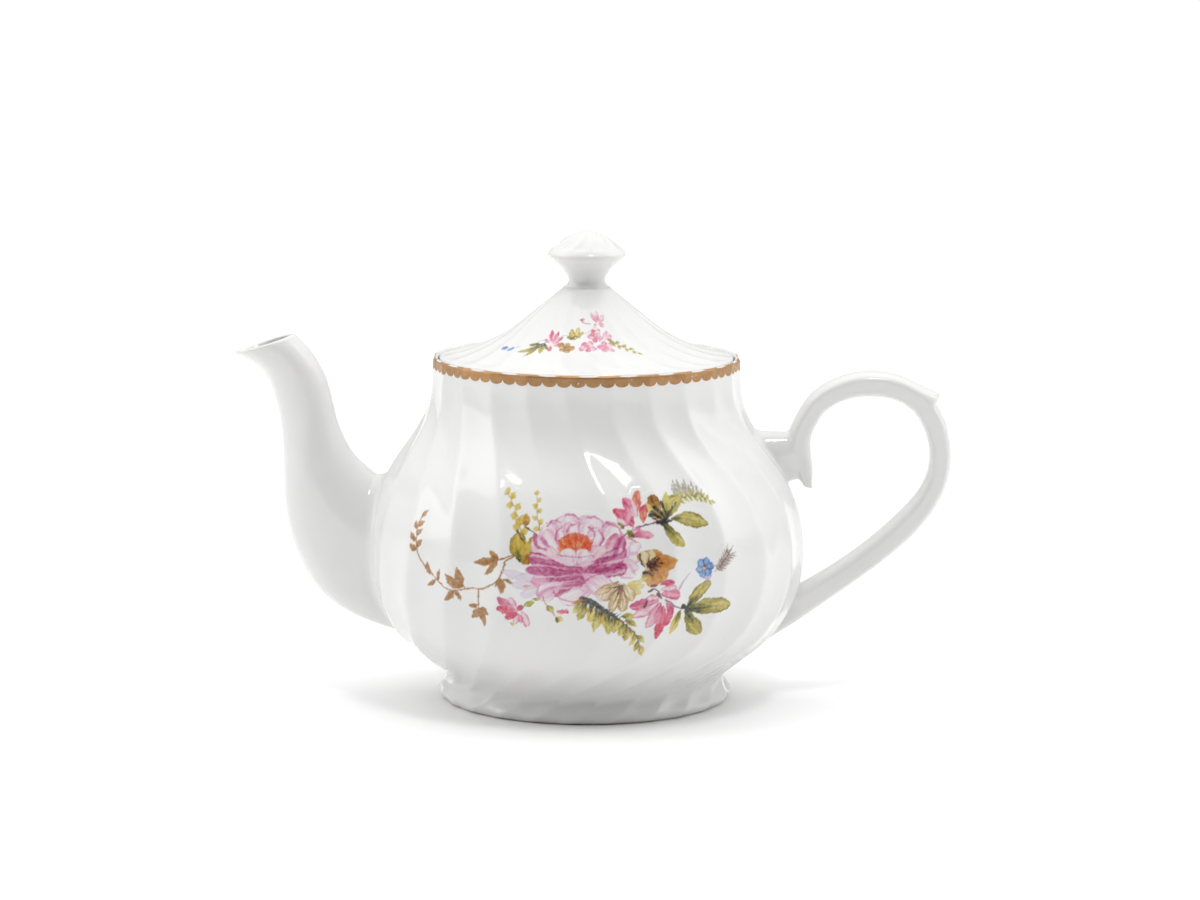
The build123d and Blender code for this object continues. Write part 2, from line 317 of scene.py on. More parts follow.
def make_pot(material):
    """The pot's casting in one sweep from the recess under the foot over the lip to the chamber's floor."""
    columns = FLUTES * 16
    low = float(body_spline(np.array([0.0]))[0, 1])
    rows = [(r, z, low, 0.0) for r, z in UNDERSIDE[1:]]
    foot_rings = np.arange(0.6, 8, 0.6)
    wall_rings = np.arange(8, LIP_CENTRE - 0.3, 1.0)
    for z in np.concatenate([foot_rings, wall_rings]):
        radius, turn, depth = body_spline(np.array([z]))[0]
        rows.append((radius, z, turn, depth))
    outer = float(body_spline(np.array([LIP_CENTRE]))[0, 0])
    rim_flute_depth = BODY_STATIONS[-1][3]
    for a in np.radians(np.arange(0, 181, 15)):
        fade = rim_flute_depth * (1 + math.cos(a)) / 2
        radius = outer - LIP_RADIUS + LIP_RADIUS * math.cos(a)
        rows.append((radius, LIP_CENTRE + LIP_RADIUS * math.sin(a), 0, fade))
    rows += [(LEDGE_OUTER, z, 0, 0) for z in (114.0, 113.4, 112.9)]
    rows += [(r, LEDGE_HEIGHT, 0, 0) for r in (49.2, 48.4, 47.0, 45.9, 45.4)]
    ledge_first = len(rows) - 3
    rows += [(LEDGE_INNER + r, z, 0, 0) for r, z in ((0.1, 112.3), (0, 111.6), (0, 110.4), (0.3, 109.4))]
    rows += [(46.4, 107.8, 0, 0), (47.5, 106.6, 0, 0)]
    ledge_last = len(rows)
    for r, z in along(INSIDE, 1.6)[:-1]:
        turn = float(body_spline(np.array([z]))[0, 1])
        rows.append((r, z, turn, INSIDE_FLUTE_DEPTH * min(1, r / 40) ** 4))
    grid = ring_rows(rows, columns)
    notch = grid[ledge_first:ledge_last]
    off_axis = np.degrees(np.abs(np.arctan2(notch[..., 1], notch[..., 0])))
    open_by = np.clip((NOTCH_HALF_ANGLE + 0.8 - off_axis) / 1.6, 0, 1)
    radius = np.hypot(notch[..., 0], notch[..., 1])
    wider = radius + np.maximum(NOTCH_RADIUS - radius, 0) * ease(open_by)
    notch[..., :2] *= (wider / radius)[..., None]
    points, faces = closed_rings(grid, (0, 0, UNDERSIDE[0][1]), (0, 0, INSIDE[-1][1]))
    piece = make_piece("pot_porcelain", points, faces, material, "pot")
    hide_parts("pot_body")
    return piece


def tree_of(piece):
    """Search tree of a piece's surface, in millimetres."""
    mesh = piece.data
    return BVHTree.FromPolygons([v.co / MM for v in mesh.vertices], [p.vertices[:] for p in mesh.polygons])


def limb_grid(stations, rows, columns, squareness, taper=0.0, hollow=0.0):
    """Rings of points of a limb: squareness 2 is an ellipse, more is flatter; taper narrows the outer edge
    and hollow sinks a shallow groove along both faces."""
    outer = np.array([(a[0], 0, a[1]) for a, _, _ in stations])
    inner = np.array([(b[0], 0, b[1]) for _, b, _ in stations])
    half = np.array([[w] for _, _, w in stations])
    middle = (outer + inner) / 2
    reach = reaches(middle)
    t = np.linspace(0, reach[-1], rows)
    table = spline(reach, np.hstack([outer, inner, half]))(t)
    outer, inner, half = table[:, None, 0:3], table[:, None, 3:6], table[:, None, 6:7]
    a = 2 * np.pi * np.arange(columns) / columns
    c, s = np.cos(a), np.sin(a)
    along_edge = (np.sign(c) * np.abs(c) ** (2 / squareness))[None, :, None]
    groove = 1 - hollow * np.exp(-(c / HANDLE_GROOVE_WIDTH) ** 2)
    across = (np.sign(s) * np.abs(s) ** (2 / squareness) * (1 - taper * c) * groove)[None, :, None]
    grid = (outer + inner) / 2 + (outer - inner) / 2 * along_edge
    return grid + half * across * np.array([0, 1, 0])


def gap(tree, point):
    """Signed distance from a surface, with the nearest spot on it and its normal."""
    spot, normal, _, _ = tree.find_nearest(Vector(point))
    return (Vector(point) - spot).dot(normal), np.array(spot), np.array(normal)


def crossing(line, tree):
    """Where a line that starts inside a surface leaves it for good, and the first point after that."""
    k = len(line) - 1
    while k > 0 and gap(tree, line[k])[0] > 0:
        k -= 1
    inside = gap(tree, line[k])[0]
    outside = gap(tree, line[k + 1])[0]
    return k + 1, line[k] + (line[k + 1] - line[k]) * (-inside / (outside - inside))


def fillet_points(cross, ahead, out, tree, size):
    """Points that start just under a surface beside the crossing and bend up to a point ahead."""
    _, _, normal = gap(tree, cross)
    out = out - out.dot(normal) * normal
    _, foot, foot_normal = gap(tree, cross + out / np.linalg.norm(out) * size)
    bend = []
    for t in np.linspace(0, 1, 7)[1:-1]:
        bend.append((1 - t) ** 2 * foot + 2 * t * (1 - t) * cross + t ** 2 * ahead)
    return np.vstack([foot - 0.5 * foot_normal, foot - 0.04 * foot_normal, bend])


def settle(grid, tree, fillet, rows, far=None):
    """Limb rings that start inside one surface, and may end in a far one, cut there with a fillet."""
    centre = grid.mean(axis=1)
    settled = []
    for c in range(grid.shape[1]):
        line = grid[:, c]
        k, start = crossing(line, tree)
        rest = [start, line[k:]]
        if far:
            m, stop = crossing(line[::-1], far[0])
            rest = [start, line[k:len(line) - m], stop]
        rest = np.vstack(rest)
        reach = reaches(rest)
        near_size = min(fillet, 0.45 * reach[-1])
        far_size = min(far[1], 0.45 * reach[-1]) if far else 0.0
        sample = np.linspace(near_size, reach[-1] - far_size, rows)
        body = np.stack([np.interp(sample, reach, rest[:, i]) for i in range(3)], -1)
        column = [fillet_points(start, body[0], start - centre[k], tree, near_size), body]
        if far:
            column.append(fillet_points(stop, body[-1], stop - centre[-m], far[0], far_size)[::-1])
        settled.append(np.vstack(column))
    return np.stack(settled, axis=1)


def dome(grid, height, steps=6):
    """Extra rings that round off the last end of a limb."""
    last = grid[-1]
    centre = last.mean(axis=0)
    axis = centre - grid[-3].mean(axis=0)
    axis /= np.linalg.norm(axis)
    rings = []
    for a in np.linspace(0, np.pi / 2, steps + 1)[1:-1]:
        rings.append(centre + (last - centre) * math.cos(a) + axis * height * math.sin(a))
    return np.concatenate([grid, np.array(rings)]), centre + axis * height


def make_spout(material, tree):
    """Hollow spout: skin, rounded lip and bore in one closed run of rings, settled on the pot."""
    columns = 72
    outside = limb_grid(SPOUT_STATIONS, 150, columns, 2.0, taper=0.1)
    middle = outside.mean(axis=1, keepdims=True)
    wall = np.linspace(*SPOUT_WALL, len(outside))[:, None, None]
    inward = middle - outside
    bore = outside + inward / np.linalg.norm(inward, axis=2, keepdims=True) * wall
    skin = settle(outside, tree, SPOUT_FILLET, 110)
    edge_out, edge_in = skin[-1], bore[-1]
    centre = (edge_out + edge_in) / 2
    axis = middle[-1, 0] - middle[-4, 0]
    axis /= np.linalg.norm(axis)
    lip = []
    for a in np.radians([30, 60, 90, 120, 150]):
        lip.append(centre + (edge_out - centre) * math.cos(a) + axis * math.sin(a) * SPOUT_LIP_BULGE)
    channel = settle(bore, tree, BORE_FILLET, 60)[::-1]
    points, faces = closed_rings(np.concatenate([skin, np.array(lip), channel]), joined=True)
    piece = make_piece("spout_porcelain", points, faces, material, "pot")
    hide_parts("spout")
    return piece


def swell_thumb_rest(grid):
    """Draws the loop's outer edge out into the thumb rest."""
    centre = grid.mean(axis=1)
    edge = grid[:, 0]
    reach = reaches(edge)
    tip = np.array([THUMB_REST[0], 0, THUMB_REST[1]])
    at = int(np.argmin(np.linalg.norm(edge - tip, axis=1)))
    push = tip - edge[at]
    s = reach - reach[at]
    rise = np.clip(1 + s / THUMB_REST_RISE, 0, 1) ** 2.2
    fall = np.clip(1 - s / THUMB_REST_DROP, 0, 1) ** 1.4
    amount = np.where(s < 0, rise, fall)
    outward = np.einsum("rck,rk->rc", grid - centre[:, None], edge - centre)
    share = np.clip(outward / np.sum((edge - centre) ** 2, axis=1)[:, None], 0, 1) ** 2.0
    return grid + amount[:, None, None] * share[..., None] * push


def make_handle(material, tree):
    """The loop, settled on the pot at its lower end, and the arm that joins its upper end to the pot."""
    columns = 56
    loop = swell_thumb_rest(limb_grid(HANDLE_STATIONS, 330, columns, 2.5, hollow=HANDLE_GROOVE_DEPTH))
    loop = settle(loop[::-1], tree, HANDLE_FILLET, 300)
    loop, tip = dome(loop, HANDLE_TIP_DOME)
    points, faces = closed_rings(loop, loop[0].mean(axis=0), tip)
    piece = make_piece("handle_porcelain", points, faces, material, "pot")
    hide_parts("handle")
    loop_tree = tree_of(piece)
    arm = limb_grid(ARM_STATIONS, 60, columns, 2.4)
    whole = settle(arm, tree, ARM_FILLETS[0], 16, (loop_tree, ARM_FILLETS[1]))
    points, faces = closed_rings(whole, whole[0].mean(axis=0), whole[-1].mean(axis=0))
    make_piece("handle_arm_porcelain", points, faces, material, "pot")
    return piece


def drill(piece, drills):
    """Bores round holes through a piece; each drill is a start, a direction, a length and a radius."""
    tool = bmesh.new()
    for start, direction, length, radius in drills:
        turned = Vector(direction).to_track_quat("Z", "Y").to_matrix().to_4x4()
        place = Matrix.Translation(Vector(start) * MM) @ turned @ Matrix.Translation((0, 0, length / 2 * MM))
        bmesh.ops.create_cone(tool, cap_ends=True, segments=28, radius1=radius * MM, radius2=radius * MM,
                              depth=length * MM, matrix=place)
    mesh = bpy.data.meshes.new("drills")
    tool.to_mesh(mesh)
    tool.free()
    cutter = new_object("drills", mesh)
    cut = piece.modifiers.new("holes", "BOOLEAN")
    cut.object = cutter
    cut.operation = "DIFFERENCE"
    cut.solver = "EXACT"
    done = bpy.data.meshes.new_from_object(piece.evaluated_get(bpy.context.evaluated_depsgraph_get()))
    piece.modifiers.clear()
    piece.data = done
    bpy.data.objects.remove(cutter)
    done.set_sharp_from_angle(angle=math.radians(50))


def strainer_drills():
    """Rows of three and two holes through the wall behind the spout."""
    drills = []
    for row in range(STRAINER_ROWS):
        holes = 3 - row % 2
        height = STRAINER_CENTRE_HEIGHT + (row - (STRAINER_ROWS - 1) / 2) * STRAINER_PITCH
        for index in range(holes):
            start = (STRAINER_START, (index - (holes - 1) / 2) * STRAINER_PITCH, height)
            drills.append((start, (-1, 0, 0), STRAINER_LENGTH, STRAINER_HOLE_RADIUS))
    return drills


def make_lid(material):
    """The lid's casting from its hollow over the collar and edge to the knob's seat, with the vent."""
    columns = FLUTES * 14
    low = [(r, z, -LID_FLUTE_TURN, 0) for r, z in along(LID_UNDER, 1.5)[1:]]
    low += [(r, z, 0, 0) for r, z in COLLAR + LID_EDGE]
    grid = list(ring_rows(low, columns))
    for r in np.linspace(LID_TOP[-1][0], LID_TOP[0][0], 46):
        turn = -LID_FLUTE_TURN * (1 - r / LID_RADIUS)
        angle = FLUTE_START - 90 + np.arange(columns) * 360 / columns + turn
        grid.append(lid_point(angle, np.full(columns, r)))
    points, faces = closed_rings(np.array(grid), (0, 0, LID_UNDER[0][1]), (0, 0, LID_TOP[0][1]))
    piece = make_piece("lid_porcelain", points, faces, material, "lid", 50)
    at = math.radians(VENT_ANGLE)
    start = (VENT_REACH * math.cos(at), VENT_REACH * math.sin(at), LEDGE_HEIGHT)
    drill(piece, [(start, (0, 0, 1), VENT_LENGTH, VENT_RADIUS)])
    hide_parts("lid")
    return piece


def make_knob(material):
    """Knob on a waisted stem, with a lobed dome."""
    columns = KNOB_FLUTES * 12
    rows = [(r, z, 0, 0) for r, z in along(KNOB_STEM, 0.6)]
    rows += [(r, z, 0, 0) for r, z in along([KNOB_STEM[-1]] + KNOB_RING + [KNOB_DOME[0]], 0.35)[1:]]
    for r, z in along(KNOB_DOME, 0.5)[1:-1]:
        depth = KNOB_FLUTE_DEPTH * min(1, r / 5, (12.2 - r) / 1.5)
        rows.append((r, z, KNOB_FLUTE_TURN * (1 - r / KNOB_RING[0][0]), depth))
    grid = ring_rows(rows, columns, KNOB_FLUTES, 0)
    points, faces = closed_rings(grid, (0, 0, KNOB_STEM[0][1]), (0, 0, KNOB_DOME[-1][1]))
    piece = make_piece("knob_porcelain", points, faces, material, "lid")
    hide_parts("lid_knob")
    return piece


def make_gold_line(material):
    """Thin fired line with hanging scallops, a skin just proud of the glaze and just under it."""
    per = 14
    columns = GOLD_SCALLOPS * per
    angle = np.arange(columns) * 360 / columns
    x = (np.arange(columns) % per) / per * 2 - 1
    lower = GOLD_BOTTOM + GOLD_SCALLOP_HEIGHT * (1 - np.sqrt(np.clip(1 - x ** 2, 0, 1)))
    outside = []
    for t in np.linspace(0, 1, 7):
        outside.append(body_point(angle, lower + (LIP_CENTRE - lower) * t, GOLD_PROUD))
    for a in np.radians(np.arange(15, 76, 15)):
        base = body_point(angle, np.full(columns, LIP_CENTRE), -LIP_RADIUS)
        r = np.hypot(base[:, 0], base[:, 1])
        grown = (r + (LIP_RADIUS + GOLD_PROUD) * math.cos(a)) / r
        top = np.full(columns, LIP_CENTRE + (LIP_RADIUS + GOLD_PROUD) * math.sin(a))
        outside.append(np.stack([base[:, 0] * grown, base[:, 1] * grown, top], -1))
    outside = np.array(outside)
    radius = np.hypot(outside[..., 0], outside[..., 1])
    inside = outside.copy()
    inside[..., :2] *= ((radius - 2.5 * GOLD_PROUD) / radius)[..., None]
    inside[-1, :, 2] -= 2 * GOLD_PROUD
    points, faces = closed_rings(np.concatenate([outside, inside[::-1]]), joined=True)
    piece = make_piece("gold_rim_line", points, faces, material, "pot", 60)
    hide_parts("gold_rim_band")
    return piece


# ---- the printed flowers: painted on flat sheets in millimetres, then wrapped on the glaze ----

INKS = {
    "bronze": ((171, 118, 64), (190, 140, 88)),
    "lemon": ((208, 176, 72), (238, 218, 130)),
    "mustard": ((168, 132, 40), (226, 196, 92)),
    "olive": ((70, 72, 28), (170, 160, 70)),
    "moss": ((132, 120, 42), (216, 198, 104)),
    "lime": ((150, 142, 48), (224, 210, 112)),
    "ochre": ((142, 88, 30), (222, 176, 92)),
    "amber": ((176, 98, 34), (226, 158, 84)),
    "rose": ((208, 66, 112), (248, 178, 198)),
    "crimson": ((214, 56, 92), (240, 140, 160)),
    "blush": ((226, 120, 160), (252, 226, 234)),
    "salmon": ((222, 112, 88), (246, 190, 168)),
    "magenta": ((192, 76, 130), (238, 172, 202)),
    "shell": ((236, 178, 206), (254, 248, 251)),
    "cream": ((186, 140, 74), (250, 236, 200)),
    "lilac": ((206, 190, 226), (236, 228, 242)),
    "blue": ((44, 92, 178), (150, 186, 232)),
    "dusk": ((96, 70, 66), (176, 146, 130)),
    "grey": ((150, 146, 128), (206, 202, 186)),
}
FULL_TURN = 6.28
STAMENS = 110
LOOSE_SEED = 3
DARK = (52, 50, 44)
SEPAL = (84, 76, 40)
STEM = (132, 116, 62)
MAUVE = (128, 78, 104)


class Sheet:
    """A flat sheet of print; x runs round the pot to the right and y runs up."""

    def __init__(self, low, high, per_mm, seed):
        self.low = np.array(low, float)
        self.per_mm = per_mm
        size = ((np.array(high) - low) * per_mm).astype(int) + 1
        self.ink = np.full((size[1], size[0], 3), 255.0)
        self.random = np.random.default_rng(seed)

    def window(self, points, margin):
        """Slices of the sheet round some points, with the x and y of every dot in them."""
        points = np.asarray(points, float)
        first = np.floor((points.min(axis=0) - margin - self.low) * self.per_mm).astype(int)
        last = np.ceil((points.max(axis=0) + margin - self.low) * self.per_mm).astype(int)
        first = np.clip(first, 0, None)
        spot = (slice(first[1], max(last[1], first[1] + 1)), slice(first[0], max(last[0], first[0] + 1)))
        rows, columns = self.ink[spot].shape[:2]
        x = self.low[0] + (first[0] + np.arange(columns)) / self.per_mm
        y = self.low[1] + (first[1] + np.arange(rows)) / self.per_mm
        return spot, *np.meshgrid(x, y)

    def lay(self, spot, colour, cover):
        """Lays a colour over part of the sheet."""
        cover = np.clip(cover, 0, 1)[..., None]
        self.ink[spot] = self.ink[spot] * (1 - cover) + np.asarray(colour) * cover

    def streaks(self, across, along_it, count):
        """Smooth random stripes that run along a petal and break up slowly."""
        table = self.random.random((5, count + 2))
        i = np.clip(along_it, 0, 0.999) * 4
        j = np.clip((across + 1) / 2, 0, 0.999) * count
        i0, j0 = i.astype(int), j.astype(int)
        fi, fj = i - i0, ease(j - j0)
        i1 = np.minimum(i0 + 1, 4)
        low = table[i0, j0] * (1 - fj) + table[i0, j0 + 1] * fj
        high = table[i1, j0] * (1 - fj) + table[i1, j0 + 1] * fj
        return low * (1 - fi) + high * fi

    def petal(self, base, tip, half, ink, bend=0.0, blunt=0.0, flush="base", streak=0.6, rim=None,
              vein=None, strength=0.95):
        """A leaf or petal from base to tip: the strong ink lies at its base, its tip or its sides."""
        base, tip = np.array(base, float), np.array(tip, float)
        length = np.linalg.norm(tip - base)
        a = (tip - base) / length
        spot, x, y = self.window([base, tip], half + abs(bend) + 0.3)
        t = ((x - base[0]) * a[0] + (y - base[1]) * a[1]) / length
        s = (y - base[1]) * a[0] - (x - base[0]) * a[1]
        s = s - bend * 4 * t * (1 - t)
        inside = np.clip(t, 0, 1)
        # the outline is pointed or rounded at the tip, and a little uneven
        pointed = np.sin(np.pi * inside ** 0.85) ** 0.85
        rounded = np.sin(np.pi * inside ** 1.9) ** 0.55
        wave = self.random.random(3) * FULL_TURN
        uneven = 1 + 0.07 * np.sin(9 * t + wave[0]) + 0.05 * np.sin(17 * t + wave[1])
        width = half * (pointed * (1 - blunt) + rounded * blunt) * uneven
        cover = np.clip((width - np.abs(s)) * self.per_mm + 0.5, 0, 1) * ((t > 0) & (t < 1))
        across = np.clip(s / np.maximum(width, 0.05), -1, 1)
        fill = {"base": (1 - inside) ** 1.3, "tip": inside ** 1.5, "sides": np.abs(across) ** 1.6,
                "all": 0.75 + 0 * t, "none": 0.12 + 0 * t}[flush]
        stripes = self.streaks(across, inside, max(4, int(half * 4)))
        fill = np.clip(fill + streak * (stripes - 0.5), 0, 1)[..., None]
        strong, pale = np.array(INKS[ink][0], float), np.array(INKS[ink][1], float)
        self.lay(spot, pale * (1 - fill) + strong * fill, cover * strength)
        if rim is not None:
            line = np.clip(1 - (width - np.abs(s)) * 3.2, 0, 1) * cover
            self.lay(spot, rim, line * (0.35 + 0.6 * stripes))
        if vein is not None:
            line = np.clip(1 - (np.abs(s) - 0.08) * 6, 0, 1) * cover * np.clip(1.2 - inside, 0, 1)
            self.lay(spot, vein, line * 0.6)

    def petals(self, rows, also="", curve=0.0, **how):
        """Petals from rows of base, tip and half width; also names what else the rows hold, and curve is
        the bend as a share of the half width."""
        for x, y, tip_x, tip_y, half, *rest in rows:
            style = {**how, **dict(zip(also.split(), rest))}
            if curve:
                style["bend"] = curve * half
            self.petal((x, y), (tip_x, tip_y), half, **style)

    def stroke(self, points, half, colour, strength=0.9, fine=0.35):
        """A brush stroke through points, that thins to fine times its width at its end."""
        path = along(points, 0.12) if len(points) > 2 else np.linspace(*np.array(points, float), 40)
        spot, x, y = self.window(path, half + 0.3)
        cover = np.zeros(x.shape)
        reach = half + 0.2
        for k, (px, py) in enumerate(path):
            j = int((px - x[0, 0]) * self.per_mm)
            i = int((py - y[0, 0]) * self.per_mm)
            n = int(reach * self.per_mm) + 1
            near = (slice(max(i - n, 0), i + n + 2), slice(max(j - n, 0), j + n + 2))
            width = half * (1 - (1 - fine) * k / len(path))
            d = np.hypot(x[near] - px, y[near] - py)
            cover[near] = np.maximum(cover[near], np.clip((width - d) * self.per_mm + 0.5, 0, 1))
        self.lay(spot, colour, cover * strength)

    def strokes(self, colour, rows, strength=0.9, fine=0.35):
        """Strokes of one colour from rows of half width and the x and y of each point."""
        for half, *numbers in rows:
            self.stroke(np.reshape(numbers, (-1, 2)), half, colour, strength, fine)

    def wash(self, centre, reach, colour, strength):
        """A soft round patch of thin colour."""
        spot, x, y = self.window([np.subtract(centre, reach), np.add(centre, reach)], 0)
        d = np.hypot((x - centre[0]) / reach[0], (y - centre[1]) / reach[1])
        self.lay(spot, colour, np.clip(1 - d, 0, 1) ** 0.8 * strength)

    def sprig(self, stem, leaf, half, ink, spacing, colour, spread=50.0, half_stem=0.16):
        """A stem with leaves on both sides by turns and one at its end."""
        self.stroke(stem, half_stem, colour)
        path = along(stem, spacing)
        for k in range(1, len(path)):
            d = path[k] - path[k - 1]
            lean = math.radians(spread if k % 2 else -spread)
            if k == len(path) - 1:
                lean = 0
            turned = np.array([d[0] * math.cos(lean) - d[1] * math.sin(lean),
                               d[0] * math.sin(lean) + d[1] * math.cos(lean)])
            end = path[k] + turned / np.linalg.norm(turned) * leaf * (1 - 0.3 * k / len(path))
            self.petal(path[k], end, half, ink)

    def bloom(self, centre, reach, half, ink, count, start=0.0, **how):
        """Petals all round a centre."""
        for k in range(count):
            a = math.radians(start + 360 * k / count)
            end = (centre[0] + reach * math.cos(a), centre[1] + reach * math.sin(a))
            self.petal(centre, end, half, ink, **how)


def loosen(sheet, wander, patch, pooling):
    """Lets the painted edges wander and the colours pool in patches, as brushed inks do; lengths in mm."""
    rows, columns = sheet.ink.shape[:2]
    cell = max(1, int(patch * sheet.per_mm))
    coarse = np.random.default_rng(LOOSE_SEED).normal(size=(rows // cell + 2, columns // cell + 2, 3))
    down, across = np.arange(rows) / cell, np.arange(columns) / cell
    i, j = down.astype(int), across.astype(int)
    v = ease(down - i)[:, None, None]
    u = ease(across - j)[None, :, None]
    corner = [coarse[np.ix_(i + a, j + b)] for a, b in ((0, 0), (0, 1), (1, 0), (1, 1))]
    field = (corner[0] * (1 - u) + corner[1] * u) * (1 - v) + (corner[2] * (1 - u) + corner[3] * u) * v
    shift = field[..., :2] * wander * sheet.per_mm
    y = np.clip(np.arange(rows)[:, None] + shift[..., 0], 0, rows - 1).round().astype(int)
    x = np.clip(np.arange(columns)[None, :] + shift[..., 1], 0, columns - 1).round().astype(int)
    depth = np.clip(1 + pooling * field[..., 2:], 0.6, 1.2)
    sheet.ink = np.clip(255 - (255 - sheet.ink[y, x].astype(float)) * depth, 0, 255)


def paint_bronze_spray(sheet):
    brown = INKS["bronze"][0]
    sheet.stroke([(-62.4, 69.4), (-63.3, 65), (-62.6, 60), (-60.4, 55.4), (-57.6, 53), (-52, 49.5),
                  (-48, 47.3), (-44, 47), (-38, 48.3), (-35, 48.4), (-31, 50), (-28, 52.5), (-26.8, 55),
                  (-26, 57.5), (-22, 60.3)], 0.24, brown, fine=1.0)
    sheet.strokes(brown, (
        (0.3, -35.6, 48.2, -35.8, 42), (0.26, -28.5, 58.6, -26, 59.2, -23.5, 60.3),
        (0.26, -41, 48.2, -41.8, 50)), fine=0.8)
    sheet.petals((
        (-55.5, 50.8, -57.3, 54.9, 1.1), (-52.5, 49.4, -56.8, 47.1, 0.8), (-51.6, 49.2, -51, 53.4, 0.8),
        (-41.5, 48.6, -43.7, 54.8, 1.5), (-41.5, 48.6, -48.4, 51.9, 1.3), (-41.5, 48.6, -47.5, 49.6, 1.2),
        (-44.8, 46.8, -49, 43.2, 1.1), (-44.6, 46.8, -42.5, 43.6, 0.9), (-35.8, 43, -39.8, 42.4, 0.7),
        (-35.6, 42, -39.2, 38.4, 1.2), (-35.6, 42, -34.2, 36, 1.4), (-35.6, 42, -32.2, 39.8, 1.2),
        (-28.5, 58.6, -37.8, 56.8, 1.3), (-28.5, 58.6, -33.4, 53, 1), (-28.5, 58.6, -31.7, 61, 1.1),
        (-27.6, 52.6, -27.2, 47.4, 1.3), (-26.8, 52.4, -23, 50.9, 0.55), (-28.2, 52.4, -29.4, 49.4, 0.6),
        (-62.3, 58, -65.8, 59.6, 1.1), (-62.2, 59, -60.1, 61.5, 0.9), (-63.1, 60.8, -66.2, 63.4, 1),
        (-63.2, 62.4, -61, 64.9, 0.9), (-63.3, 64.4, -65, 67.4, 0.8), (-63, 65.4, -60.8, 67.4, 0.8),
        (-62.7, 68.4, -60.4, 71, 0.7)), ink="bronze", curve=0.25, streak=0.9, vein=(150, 98, 48))


def paint_left_sprigs(sheet):
    sheet.sprig([(-20, 63), (-22, 69), (-24.5, 74), (-28, 78.5)], 3.2, 1.15, "lemon", 2.0, STEM, spread=58)
    sheet.sprig([(-14.5, 67), (-16, 71), (-16.8, 75), (-17.4, 78.5)], 2.4, 0.8, "lemon", 1.7, STEM, spread=64)
    sheet.petals((
        (-20, 69.3, -20.5, 73, 1.5, "ochre", "base"), (-21, 70, -24.4, 71, 1.1, "lemon", "all")),
        also="ink flush")
    sheet.stroke([(-20.3, 69), (-17, 67.4), (-14.5, 65.6)], 0.26, SEPAL)
    sheet.petals((
        (-20, 57.4, -22.4, 67.4, 3.1, 0.6, 0.6, "sides", SEPAL),
        (-19.6, 57.4, -16, 66.4, 2.9, -0.4, 0.6, "sides", (160, 116, 36)),
        (-19.8, 57.2, -19.8, 65, 2.1, 0, 0.4, "base", (186, 150, 56))),
        also="bend blunt flush rim", ink="mustard")
    sheet.stroke([(-22.6, 67.6), (-21.2, 65.6), (-19.6, 64)], 0.4, SEPAL)
    sheet.petals((
        (-21.2, 57.8, -22.8, 63, 0.9, "olive", "base"), (-19.2, 57.2, -17.6, 61.4, 1.2, "ochre", "all")),
        also="ink flush")


